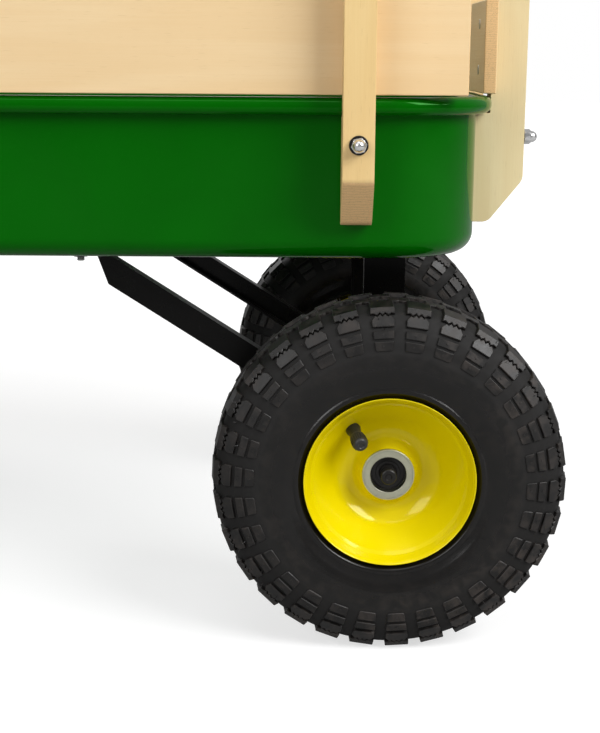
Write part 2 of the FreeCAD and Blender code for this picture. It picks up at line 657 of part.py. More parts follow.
def make_rack(side, at, turn, count, span, drop, length):
    """One side of the rack: its stakes, slats and bolts. Locally +Y is out from the tray's wall."""
    first = "-(%s) / 2" % span
    foot = "tray_height + stake_foot - (%s)" % drop
    inner = "stake_depth - stake_upper"
    bolt_height = "tray_height + rack_bolt_height"
    stakes = new_body("stakes_" + side, at, turn)
    shape = [
        ("0", foot),
        (inner, foot, "stake_round"),
        ("stake_depth", foot + " + stake_toe", "stake_round"),
        ("stake_depth", "stake_top"),
        (inner, "stake_top"),
        (inner, "bead_bottom - notch_gap"),
        ("0", "bead_bottom - notch_gap"),
    ]
    pad(stakes, outline(stakes, "YZ_Plane", shape, first), "stake_width", both_ways=True)
    bore = circles(stakes, "XZ_Plane", [(first, bolt_height, "rack_bolt_radius")])
    pocket(stakes, bore, "stake_depth * 3", both_ways=True)
    row_of(stakes, "X_Axis", span, count)

    slats = new_body("slats_" + side, at, turn)
    low = "tray_top + slat_lift"
    board = rectangle(inner + " - slat_thickness", low, inner, low + " + slat_height")
    pad(slats, outline(slats, "YZ_Plane", board), length, both_ways=True)
    row_of(slats, "Z_Axis", "(rack_slats - 1) * (slat_height + slat_gap)", "rack_slats")

    bolts = new_body("rack_bolts_" + side, at, turn)
    head = circles(bolts, "XZ_Plane", [(first, bolt_height, "rack_head_radius")], "tray_sheet")
    pad(bolts, head, "rack_head_height")
    shank = circles(bolts, "XZ_Plane", [(first, bolt_height, "rack_bolt_radius")], "tray_sheet")
    pad(bolts, shank, "tray_sheet + stake_depth + nut_washer_height + nut_height", down=True)
    washer = circles(bolts, "XZ_Plane", [(first, bolt_height, "nut_washer_radius")], "-stake_depth")
    pad(bolts, washer, "nut_washer_height", down=True)
    corners = [("%s + %s" % (first, a), "%s + %s" % (bolt_height, b)) for a, b in hexagon("nut_flats")]
    hexagon_face = "-stake_depth - nut_washer_height"
    pad(bolts, outline(bolts, "XZ_Plane", corners, hexagon_face), "nut_height", down=True)
    dome = circles(bolts, "XZ_Plane", [(first, bolt_height, "nut_dome_radius")],
                   hexagon_face + " - nut_height")
    pad(bolts, dome, "nut_dome", down=True)
    end = value("stake_depth + nut_reach")
    round_edges(bolts, "nut_dome_round", lambda edge: abs(edge.BoundBox.YMin - end) < 0.01)
    row_of(bolts, "X_Axis", span, count)


def both_halves(half):
    """A profile's points on one side of the wheel's middle, then mirrored back to the start."""
    return half + [("-(%s)" % across, radius) for across, radius in reversed(half)]


def stand(body, kind, radius, start, length):
    """A cylinder on the valve's leaning line, in a wheel's own frame."""
    feature = body.newObject("PartDesign::" + kind, body.Name + "_stem")
    feature.AttachmentSupport = (origin_part(body, "XY_Plane"), [""])
    feature.MapMode = "FlatFace"
    feature.AttachmentOffset = FreeCAD.Placement(Vector(), FreeCAD.Rotation(Vector(1, 0, 0), -90))
    bind(feature, "AttachmentOffset.Rotation.Angle", "-90 - valve_lean")
    bind(feature, "AttachmentOffset.Base.y", "valve_foot_half + (%s) * cos(valve_lean)" % start)
    bind(feature, "AttachmentOffset.Base.z", "valve_foot_radius - (%s) * sin(valve_lean)" % start)
    bind(feature, "Radius", radius)
    bind(feature, "Height", length)
    return finish(body, feature)


def make_tyre(name, place, turn, axis):
    """Tyre: a straight pitch of casing with one lug across it, repeated round the axle, then hollowed.

    The hollow is never seen and has ten flat sides.
    """
    tyre = new_body(name, place, turn, axis)
    seat_slope = "(rim_hump_radius - rim_heel_radius) / (rim_hump_half - rim_heel_half)"
    flange = "rim_width / 2 - rim_sheet"
    side = ("tyre_width / 2", "tyre_radius - lug_reach")
    casing = both_halves([
        ("rim_heel_half", "rim_heel_radius"),
        (flange, "rim_heel_radius + (%s - rim_heel_half) * %s" % (flange, seat_slope)),
        side,
        ("tread_width / 2", "tyre_radius - lug_height"),
    ])
    lug_top = both_halves([
        side,
        ("tread_edge / 2", "tyre_radius - tyre_shoulder"),
        ("tread_width / 2", "sqrt(tyre_radius ^ 2 - lug_width ^ 2 / 4)"),
    ])
    lug_root = both_halves([("tread_width / 2 - lug_height", "tyre_radius - 2 * lug_height")])
    half_pitch = "tan(180 / lug_count)"
    pad(tyre, outline(tyre, "YZ_Plane", casing), "2 * tyre_radius * %s" % half_pitch, both_ways=True)
    for way in ("", "-"):
        pocket(tyre, outline(tyre, "XZ_Plane", [
            (way + "rim_well_radius * " + half_pitch, "rim_well_radius"),
            (way + "tyre_radius", "rim_well_radius"),
            (way + "tyre_radius", "tyre_radius"),
            (way + "tyre_radius * " + half_pitch, "tyre_radius"),
        ]), "tyre_width", both_ways=True)
    pad(tyre, outline(tyre, "YZ_Plane", lug_top + lug_root[::-1]), "lug_width", both_ways=True)
    ring_of(tyre, "lug_count")
    hollow = even_corners(10, "(tyre_radius - lug_height - tyre_crown)")
    pocket(tyre, outline(tyre, "XZ_Plane", hollow), "2 * rim_heel_half", both_ways=True)


def make_rim(name, place, turn, axis):
    """Pressed rim, dished the same way on both faces, with the valve's hole."""
    under_tyre = both_halves([
        ("rim_width / 2", "rim_flange_radius"),
        ("rim_width / 2 - rim_sheet", "rim_flange_radius"),
        ("rim_hump_half", "rim_hump_radius"),
        ("rim_heel_half", "rim_heel_radius"),
        ("rim_seat_half", "rim_seat_radius"),
        ("rim_well_half", "rim_well_radius"),
    ])
    face = both_halves([
        ("rim_roll_half", "rim_roll_radius"),
        ("rim_step_half", "rim_step_radius"),
        ("rim_step_half - rim_step", "rim_step_radius - rim_step"),
        ("rim_bowl_half", "rim_bowl_radius"),
        ("rim_dish_half", "rim_dish_radius"),
        ("rim_nose_half", "rim_nose_radius"),
        ("rim_collar_half", "rim_collar_radius"),
        ("rim_collar_end", "hub_radius"),
    ])
    rim = new_body(name, place, turn, axis)
    revolve(rim, outline(rim, "YZ_Plane", under_tyre + face[::-1]))
    stand(rim, "SubtractiveCylinder", "valve_radius", "0", "valve_length")


def make_hub(name, place, turn, axis):
    """Hub tube with a bearing recess in each end."""
    bore = "axle_radius + axle_play"
    hub = new_body(name, place, turn, axis)
    revolve(hub, outline(hub, "YZ_Plane", [
        ("-hub_inboard", "bearing_radius"),
        ("-hub_inboard", "hub_radius"),
        ("hub_outboard", "hub_radius"),
        ("hub_outboard", "bearing_radius"),
        ("hub_outboard - bearing_depth", "bearing_radius"),
        ("hub_outboard - bearing_depth", bore),
        ("bearing_depth - hub_inboard", bore),
        ("bearing_depth - hub_inboard", "bearing_radius"),
    ]))


def make_valve(name, place, turn, axis):
    """Rubber valve that comes through the rim and leans towards the hub, with its cap."""
    valve = new_body(name, place, turn, axis)
    stand(valve, "AdditiveCylinder", "valve_radius", "0", "valve_length")
    cap_start = "valve_length - valve_cap_length"
    stand(valve, "AdditiveCylinder", "valve_cap_radius", cap_start, "valve_cap_length")


def make_wheels():
    """Four wheels, each turned so that its valve stands ahead of the top; right ones mirror left ones."""
    pieces = (("tyre", make_tyre, "valve_turn + lug_turn"), ("rim", make_rim, "valve_turn"),
              ("hub", make_hub, "valve_turn"), ("valve", make_valve, "valve_turn"))
    for end, at in (("rear", "rear_axle_x"), ("front", "front_axle_x")):
        for piece, make, turn in pieces:
            half = math.radians(value(turn) / 2)
            make("%s_%s_left" % (piece, end), (at, "wheel_y", "tyre_radius"), turn, (0, 1, 0))
            make("%s_%s_right" % (piece, end), (at, "-wheel_y", "tyre_radius"), "180",
                 (math.sin(half), 0, math.cos(half)))


def make_turntable():
    """Disc on the front bracket that turns against the pivot plate."""
    body = new_body("turntable", at=("front_axle_x", "0", "0"))
    low = "front_bracket_top"
    disc = circles(body, "XY_Plane", [("0", "0", "turntable_radius")], low)
    pad(body, disc, "turntable_sheet")
    bore = circles(body, "XY_Plane", [("0", "0", "kingpin_radius + kingpin_play")], low)
    pocket(body, bore, "turntable_sheet", up=True)


def make_tongue_arm(name, side):
    """Flat bar bent from the front bracket's leg to an ear beside the handle's yoke."""
    body = new_body(name, at=("front_axle_x", "0", "hitch_height"))
    foot = "channel_width / 2 + tongue_sheet / 2"
    path = [
        (foot, side + "leg_outer"),
        (foot, side + "(flange_inner - tongue_bend)", "tongue_bend"),
        ("hitch_ahead - tongue_ear", side + "ear_middle", "tongue_bend"),
        ("hitch_ahead + tongue_nose", side + "ear_middle"),
    ]
    line = outline(body, "XY_Plane", path, closed=False)
    left, right = foot + " - tongue_sheet / 2", foot + " + tongue_sheet / 2"
    section = rectangle(left, "-tongue_height / 2", right, "tongue_height / 2")
    lift = "leg_outer" if side == "-" else "-leg_outer"
    sweep(body, outline(body, "XZ_Plane", section, lift), line)
    bore = circles(body, "XZ_Plane", [("hitch_ahead", "0", "pin_radius")])
    pocket(body, bore, "pin_reach * 4", both_ways=True)


def make_pin():
    """Pin through the tongue's ears and the handle's yoke, with a flat head at each end."""
    body = new_body("tongue_pin", at=("hitch_x", "0", "hitch_height"))
    shank = circles(body, "XZ_Plane", [("0", "0", "pin_radius")])
    pad(body, shank, "pin_reach * 2", both_ways=True)
    for side, outward in (("-", True), ("", False)):
        head = circles(body, "XZ_Plane", [("0", "0", "pin_head_radius")], side + "pin_reach")
        pad(body, head, "pin_head_height", down=outward)


def handle_body(name):
    """A body in the handle's own frame: pivot at its origin, +X along the handle."""
    return new_body(name, ("hitch_x", "0", "hitch_height"), "handle_drop", (0, 1, 0))


def make_handle():
    """Yoke, tube shaft, bent hand loop and its grip sleeve."""
    yoke = handle_body("handle_yoke")
    high = "yoke_height / 2"
    plate = [("-" + high, "-" + high, "yoke_nose_round"), ("yoke_length", "-" + high),
             ("yoke_length", high), ("-" + high, high, "yoke_nose_round")]
    pad(yoke, outline(yoke, "XZ_Plane", plate), "yoke_thickness", both_ways=True)
    bore = circles(yoke, "XZ_Plane", [("0", "0", "pin_radius + pin_play")])
    pocket(yoke, bore, "yoke_thickness * 2", both_ways=True)
    plug = circles(yoke, "YZ_Plane", [("0", "0", "shaft_radius - shaft_sheet - plug_play")], "yoke_length")
    pad(yoke, plug, "yoke_plug")

    root = "handle_length - loop_depth"
    shaft = handle_body("handle_shaft")
    tube = circles(shaft, "YZ_Plane", [("0", "0", "shaft_radius"),
                                       ("0", "0", "shaft_radius - shaft_sheet")], "yoke_length")
    pad(shaft, tube, root + " - yoke_length")
    saddle = circles(shaft, "XZ_Plane", [(root, "0", "loop_bar_radius")])
    pocket(shaft, saddle, "shaft_radius * 3", both_ways=True)

    loop = handle_body("handle_loop")
    path = [
        (root, "0"),
        (root, "loop_root / 2", "loop_root_bend"),
        ("handle_length", "(loop_width / 2)", "loop_grip_bend"),
        ("handle_length", "-(loop_width / 2)", "loop_grip_bend"),
        (root, "-loop_root / 2", "loop_root_bend"),
    ]
    bar = circles(loop, "XZ_Plane", [(root, "0", "loop_bar_radius")])
    sweep(loop, bar, outline(loop, "XY_Plane", path))

    grip = handle_body("handle_grip")
    sleeve = circles(grip, "XZ_Plane", [("handle_length", "0", "grip_radius"),
                                        ("handle_length", "0", "loop_bar_radius")])
    pad(grip, sleeve, "grip_length", both_ways=True)


make_tray()
make_bracket("rear_axle_bracket", "rear_axle_x", "tray_height",
             [("0", "-bracket_bolt_span / 2", "frame_bolt_radius"),
              ("0", "bracket_bolt_span / 2", "frame_bolt_radius")])
make_brace("rear_brace_left", 1)
make_brace("rear_brace_right", -1)
make_axle("rear_axle", "rear_axle_x")
make_floor_bolts("bracket_bolts", "rear_axle_x",
                 [("0", "-bracket_bolt_span / 2"), ("0", "bracket_bolt_span / 2")], "bracket_plate")
make_floor_bolts("brace_bolts", "rear_axle_x",
                 [("tab_bolt_x", "-tab_bolt_y"), ("tab_bolt_x", "tab_bolt_y")], "channel_sheet")
make_floor_bolts("pivot_bolts", "front_axle_x", PIVOT_BOLTS, "pivot_plate_sheet")
make_pivot_plate()
make_kingpin()
make_rack("left", ("tray_mid_x", "tray_width / 2", "0"), "0", *SIDE)
make_rack("right", ("tray_mid_x", "-tray_width / 2", "0"), "180", *SIDE)
make_rack("front", ("tray_mid_x + tray_length / 2", "0", "0"), "-90", *END)
make_rack("rear", ("tray_mid_x - tray_length / 2", "0", "0"), "90", *END)
make_turntable()
make_bracket("front_axle_bracket", "front_axle_x", "front_bracket_top",
             [("0", "0", "kingpin_radius + kingpin_play")])
make_axle("front_axle", "front_axle_x")
make_tongue_arm("tongue_arm_left", "")
make_tongue_arm("tongue_arm_right", "-")
make_pin()
make_handle()
make_wheels()

doc.recompute()
for item in doc.Objects:
    if "Invalid" in item.State or "Error" in item.State:
        raise RuntimeError("%s is not worked out: %s" % (item.Label, item.State))
for node in nodes:
    if node.Shape.isNull() or not node.Shape.isValid():
        raise RuntimeError("%s has no sound shape" % node.Label)
for node in nodes:
    node.Shape.exportStep("parts/%s.step" % node.Label)
    print(node.Label, len(node.Shape.Solids), round(node.Shape.Volume))
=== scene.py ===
"""Looks of a pull-along hay wagon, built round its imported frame.

The frame gives every place. Each sub-assembly is a class that models its own pieces and dresses them,
and a plain white studio stands round the wagon. Sizes are in millimetres, Blender's are in metres.
"""

import json
import logging
import math
import random
from collections.abc import Callable, Sequence
from dataclasses import dataclass, field
from enum import Enum
from typing import Any

import bmesh
import bpy
from mathutils import Matrix, Vector

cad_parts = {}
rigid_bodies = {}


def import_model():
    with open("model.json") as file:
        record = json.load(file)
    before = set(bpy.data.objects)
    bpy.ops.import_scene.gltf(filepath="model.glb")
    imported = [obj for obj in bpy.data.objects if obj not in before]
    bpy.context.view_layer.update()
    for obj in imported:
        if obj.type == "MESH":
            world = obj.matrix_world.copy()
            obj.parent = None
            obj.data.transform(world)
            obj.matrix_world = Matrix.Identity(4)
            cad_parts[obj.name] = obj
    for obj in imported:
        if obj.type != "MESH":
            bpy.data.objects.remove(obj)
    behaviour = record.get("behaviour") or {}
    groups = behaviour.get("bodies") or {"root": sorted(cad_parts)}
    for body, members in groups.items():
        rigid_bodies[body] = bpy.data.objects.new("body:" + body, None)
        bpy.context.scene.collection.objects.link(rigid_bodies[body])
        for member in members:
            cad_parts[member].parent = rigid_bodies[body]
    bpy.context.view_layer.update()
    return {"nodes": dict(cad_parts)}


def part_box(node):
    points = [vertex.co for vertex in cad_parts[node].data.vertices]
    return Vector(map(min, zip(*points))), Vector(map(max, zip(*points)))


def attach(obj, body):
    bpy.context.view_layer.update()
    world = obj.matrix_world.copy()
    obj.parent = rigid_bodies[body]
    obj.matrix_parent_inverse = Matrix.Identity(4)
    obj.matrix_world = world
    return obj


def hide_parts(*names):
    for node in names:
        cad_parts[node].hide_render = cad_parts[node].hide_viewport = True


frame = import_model()

log = logging.getLogger("wagon")

X, Y, Z = Vector((1, 0, 0)), Vector((0, 1, 0)), Vector((0, 0, 1))
QUARTER = math.pi / 2
FULL = math.pi * 2
START_SIZE = 0.001
SAME_PLACE = 1e-6
DOUBLED = 2e-6

Corner = tuple[float, ...]
Colour = tuple[float, float, float]


def metres(*lengths: float) -> Vector:
    """Turn a point in millimetres into metres."""
    return Vector(lengths) / 1000


def middle_of(node: str) -> Vector:
    """Middle of a CAD node's box, in millimetres."""
    low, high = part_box(node)
    return (Vector(low) + Vector(high)) * 500


def lowest_of(node: str) -> Vector:
    """Lowest corner of a CAD node's box, in millimetres."""
    return Vector(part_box(node)[0]) * 1000


def highest_of(node: str) -> Vector:
    """Highest corner of a CAD node's box, in millimetres."""
    return Vector(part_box(node)[1]) * 1000


def clear_selection() -> None:
    """Leave edit mode and deselect everything."""
    if bpy.context.object and bpy.context.object.mode != "OBJECT":
        bpy.ops.object.mode_set(mode="OBJECT")
    bpy.ops.object.select_all(action="DESELECT")


def take_up(piece: bpy.types.Object) -> None:
    """Make this piece the only one selected, and the active one.

    Args:
        piece: The piece.
    """
    clear_selection()
    piece.select_set(True)
    bpy.context.view_layer.objects.active = piece


class Part(Enum):
    """What a selection is made of."""

    POINTS = "VERT"
    EDGES = "EDGE"
    FACES = "FACE"


class Grain(Enum):
    """Which way a board's grain runs, as the turn that lays it along Z."""

    UPRIGHT = (0.0, 0.0, 0.0)
    LENGTHWISE = (0.0, QUARTER, 0.0)
    CROSSWISE = (QUARTER, 0.0, 0.0)


@dataclass(frozen=True)
class Plane:
    """A drawing plane, in millimetres."""

    origin: Vector
    across: Vector = field(default_factory=lambda: X.copy())
    up: Vector = field(default_factory=lambda: Z.copy())

    def at(self, across: float, up: float) -> Vector:
        """Point of the plane, in metres."""
        return (self.origin + self.across * across + self.up * up) / 1000


ROUND_Y = Plane(Vector(), Y, Z)
ROUND_Z = Plane(Vector(), Z, X)


class Bench:
    """One new piece, shaped in edit mode as by hand. Lengths are in millimetres."""

    def __init__(self, name: str) -> None:
        """Put an empty piece on the bench.

        Args:
            name: The piece's name.
        """
        clear_selection()
        bpy.ops.mesh.primitive_plane_add(size=START_SIZE)
        self.piece: bpy.types.Object = bpy.context.object
        self.piece.name = name
        self.piece.data.name = name
        bpy.ops.object.mode_set(mode="EDIT")
        bpy.ops.mesh.delete(type="VERT")

    def pick(self, part: Part, wanted: Callable[[Any], bool]) -> None:
        """Select, among what shows, the points, edges or faces that the test wants.

        Args:
            part: What to select.
            wanted: Says of each element whether it is selected.
        """
        bpy.ops.mesh.select_all(action="DESELECT")
        bpy.ops.mesh.select_mode(type=part.value)
        mesh = bmesh.from_edit_mesh(self.piece.data)
        elements = {Part.POINTS: mesh.verts, Part.EDGES: mesh.edges, Part.FACES: mesh.faces}[part]
        for element in elements:
            if not element.hide and wanted(element):
                element.select_set(True)
        mesh.select_flush_mode()
        bmesh.update_edit_mesh(self.piece.data)

    def draw(self, plane: Plane, corners: Sequence[Corner], closed: bool = True, fineness: int = 6) -> None:
        """Draw a wire through corners, rounding those that give a radius.

        Args:
            plane: The plane that the corners lie in.
            corners: Each one's place across and up, and a radius or none.
            closed: Whether the wire comes back to its start.
            fineness: Segments in a quarter turn of a rounding.
        """
        bpy.ops.mesh.select_mode(type="VERT")
        bpy.ops.mesh.select_all(action="SELECT")
        bpy.ops.mesh.hide(unselected=False)
        points = [plane.at(*corner[:2]) for corner in corners]
        bpy.ops.mesh.primitive_plane_add(size=START_SIZE, location=points[0])
        bpy.ops.mesh.merge(type="CENTER")
        for before, after in zip(points, points[1:]):
            bpy.ops.mesh.extrude_region_move(TRANSFORM_OT_translate={"value": after - before})
        if closed:
            ends = points[0], points[-1]
            self.pick(Part.POINTS, lambda p: min((p.co - end).length for end in ends) < SAME_PLACE)
            bpy.ops.mesh.edge_face_add()
        for index, corner in enumerate(corners):
            if len(corner) < 3:
                continue
            here = points[index]
            turn = (here - points[index - 1]).angle(points[(index + 1) % len(points)] - here)
            self.pick(Part.POINTS, lambda p: (p.co - here).length < SAME_PLACE)
            bpy.ops.mesh.bevel(offset=corner[2] / 1000 * math.tan(turn / 2), affect="VERTICES",
                               segments=max(2, round(fineness * turn / QUARTER)))
        bpy.ops.mesh.select_all(action="SELECT")

    def fill(self) -> None:
        """Close the wire that shows with a face."""
        bpy.ops.mesh.select_all(action="SELECT")
        bpy.ops.mesh.edge_face_add()

    def raise_by(self, way: Vector, taper: float = 1.0) -> None:
        """Extrude what is selected, and draw its far end in a little if asked.

        Args:
            way: How far and which way, in millimetres.
            taper: Size of the far end beside the near one.
        """
        bpy.ops.mesh.extrude_region_move(TRANSFORM_OT_translate={"value": way / 1000})
        if taper != 1.0:
            mesh = bmesh.from_edit_mesh(self.piece.data)
            chosen = [p.co for p in mesh.verts if p.select]
            middle = sum(chosen, Vector()) / len(chosen)
            bpy.ops.transform.resize(value=(taper,) * 3, center_override=middle)

    def settle(self) -> None:
        """Merge doubled points of what shows and point its faces outwards."""
        bpy.ops.mesh.select_all(action="SELECT")
        bpy.ops.mesh.remove_doubles(threshold=DOUBLED)
        bpy.ops.mesh.normals_make_consistent(inside=False)

    def block(self, plane: Plane, corners: Sequence[Corner], way: Vector, taper: float = 1.0,
              fineness: int = 6, chamfer: float = 0.0) -> None:
        """Draw an outline and raise it to a solid.

        Args:
            plane: Where the outline is drawn.
            corners: The outline.
            way: How far and which way it is raised.
            taper: Size of the far end beside the near one.
            fineness: Segments in a quarter turn of a rounding.
            chamfer: Width of the far end's chamfer, which takes the second finish.
        """
        self.draw(plane, corners, fineness=fineness)
        self.fill()
        self.raise_by(way, taper)
        if chamfer:
            bpy.ops.mesh.bevel(offset=chamfer / 1000, affect="EDGES", segments=1, material=1,
                               clamp_overlap=True)
        self.settle()

    def turn(self, plane: Plane, corners: Sequence[Corner], steps: int, closed: bool = True,
             fineness: int = 6) -> None:
        """Turn a profile right round the plane's across line, as on a lathe.

        Args:
            plane: Its origin lies on the lathe's axis, and across is the axis.
            corners: The profile: place along the axis, radius, and a rounding or none.
            steps: Segments of the full turn.
            closed: Whether the profile is a ring, and not a line that ends on the axis.
            fineness: Segments in a quarter turn of a rounding.
        """
        self.draw(plane, corners, closed, fineness)
        bpy.ops.mesh.spin(steps=steps, angle=FULL, center=plane.origin / 1000, axis=plane.across)
        self.settle()

    def repeat_round(self, count: int, axis: Vector) -> None:
        """Copy all that shows round the origin, evenly spaced.

        Args:
            count: How many there are in all.
            axis: The axis that they stand round.
        """
        bpy.ops.mesh.select_all(action="SELECT")
        bpy.ops.mesh.spin(steps=count - 1, angle=FULL * (count - 1) / count, dupli=True,
                          center=(0, 0, 0), axis=axis)

    def done(self) -> bpy.types.Object:
        """Take the piece off the bench.

        Returns:
            The piece, in object mode.
        """
        bpy.ops.mesh.reveal()
        bpy.ops.mesh.select_all(action="DESELECT")
        bpy.ops.object.mode_set(mode="OBJECT")
        return self.piece


def lathe(name: str, plane: Plane, profile: Sequence[Corner], steps: int, closed: bool = False,
          fineness: int = 6) -> bpy.types.Object:
    """Turn one piece on its own.

    Args:
        name: The piece's name.
        plane: Its origin lies on the lathe's axis, and across is the axis.
        profile: Place along the axis, radius, and a rounding or none.
        steps: Segments of the full turn.
        closed: Whether the profile is a ring, and not a line that ends on the axis.
        fineness: Segments in a quarter turn of a rounding.

    Returns:
        The piece.
    """
    bench = Bench(name)
    bench.turn(plane, profile, steps, closed, fineness)
    return bench.done()


def modify(piece: bpy.types.Object, kind: str, **settings: Any) -> None:
    """Add a modifier to a piece and apply it.

    Args:
        piece: The piece.
        kind: The modifier's type.
        settings: The modifier's own settings.
    """
    take_up(piece)
    bpy.ops.object.modifier_add(type=kind)
    modifier = piece.modifiers[-1]
    for name, value in settings.items():
        setattr(modifier, name, value)
    bpy.ops.object.modifier_apply(modifier=modifier.name)


def ease(piece: bpy.types.Object, width: float, steps: int = 2, angle: float = 30) -> None:
    """Round a piece's sharp edges.

    Args:
        piece: The piece.
        width: Width of the rounding in millimetres.
        steps: Its segments.
        angle: Edges sharper than this are rounded, in degrees.
    """
    modify(piece, "BEVEL", width=width / 1000, segments=steps, limit_method="ANGLE",
           angle_limit=math.radians(angle), material=-1, use_clamp_overlap=True)


def smooth(piece: bpy.types.Object, angle: float = 35, flat_faces: bool = False) -> None:
    """Shade a piece smooth except at its sharp edges.

    Args:
        piece: The piece.
        angle: Edges sharper than this stay sharp, in degrees.
        flat_faces: Whether broad flat faces keep their own normal beside a rounding.
    """
    take_up(piece)
    bpy.ops.object.shade_smooth_by_angle(angle=math.radians(angle))
    if flat_faces:
        modify(piece, "WEIGHTED_NORMAL", keep_sharp=True, weight=80)


def put(piece: bpy.types.Object, place: Matrix) -> bpy.types.Object:
    """Move a piece and keep its place in its mesh.

    Args:
        piece: The piece, with its object at the origin.
        place: Where it goes, in metres.

    Returns:
        The same piece.
    """
    take_up(piece)
    piece.matrix_world = place
    bpy.ops.object.transform_apply(location=True, rotation=True, scale=True)
    return piece


def shift(*lengths: float) -> Matrix:
    """A move in millimetres, as a matrix in metres."""
    return Matrix.Translation(metres(*lengths))


def mirrored(profile: Sequence[Corner]) -> list[Corner]:
    """The same corners on the other side of the middle, in the other order."""
    return [(-corner[0], *corner[1:]) for corner in reversed(profile)]


def pointing(place: Vector, way: Vector) -> Matrix:
    """Matrix that stands a piece's Z along a direction.

    Args:
        place: Where its foot goes, in millimetres.
        way: The direction.

    Returns:
        The matrix, in metres.
    """
    return Matrix.Translation(place / 1000) @ way.to_track_quat("Z", "Y").to_matrix().to_4x4()


def copy_of(piece: bpy.types.Object, name: str) -> bpy.types.Object:
    """Copy a piece with a mesh of its own.

    Args:
        piece: What is copied.
        name: The copy's name.

    Returns:
        The copy.
    """
    take_up(piece)
    bpy.ops.object.duplicate(linked=False)
    twin = bpy.context.object
    twin.name = name
    twin.data.name = name
    return twin


def join(name: str, pieces: Sequence[bpy.types.Object]) -> bpy.types.Object:
    """Join pieces into one.

    Args:
        name: Its name.
        pieces: The pieces, of which the first gives the order of the materials.

    Returns:
        The joined piece.
    """
    take_up(pieces[0])
    for piece in pieces:
        piece.select_set(True)
    if len(pieces) > 1:
        bpy.ops.object.join()
    joined = bpy.context.object
    joined.name = name
    joined.data.name = name
    return joined


def put_away(piece: bpy.types.Object) -> None:
    """Delete a pattern piece once its copies are made."""
    take_up(piece)
    bpy.ops.object.delete()


def fair_copy(node: str, name: str, width: float = 0.5) -> bpy.types.Object:
    """Copy a CAD node, join up its loose triangles and round its edges.

    Args:
        node: The CAD node.
        name: The copy's name.
        width: Rounding of the edges in millimetres.

    Returns:
        The copy.
    """
    original = frame["nodes"][node]
    take_up(original)
    bpy.ops.object.duplicate(linked=False)
    piece = bpy.context.object
    bpy.ops.object.parent_clear(type="CLEAR_KEEP_TRANSFORM")
    for key in [key for key in piece.keys() if key.startswith("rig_")]:
        del piece[key]
    piece.name = name
    piece.data.name = name
    bpy.ops.object.mode_set(mode="EDIT")
    bpy.ops.mesh.select_all(action="SELECT")
    bpy.ops.mesh.remove_doubles(threshold=SAME_PLACE)
    bpy.ops.mesh.dissolve_limited(angle_limit=math.radians(1))
    bpy.ops.object.mode_set(mode="OBJECT")
    if piece.data.has_custom_normals:
        bpy.ops.mesh.customdata_custom_splitnormals_clear()
    ease(piece, width, 2, 40)
    return piece


def mark_points(piece: bpy.types.Object, name: str, values: Callable[[Vector], Sequence[float]]) -> None:
    """Write a vector on each point of a piece, for its finish to read.

    Args:
        piece: The piece.
        name: The attribute's name.
        values: Gives the vector for a point's place.
    """
    marks = piece.data.attributes.new(name, "FLOAT_VECTOR", "POINT")
    for point, mark in zip(piece.data.vertices, marks.data):
        mark.vector = values(point.co)


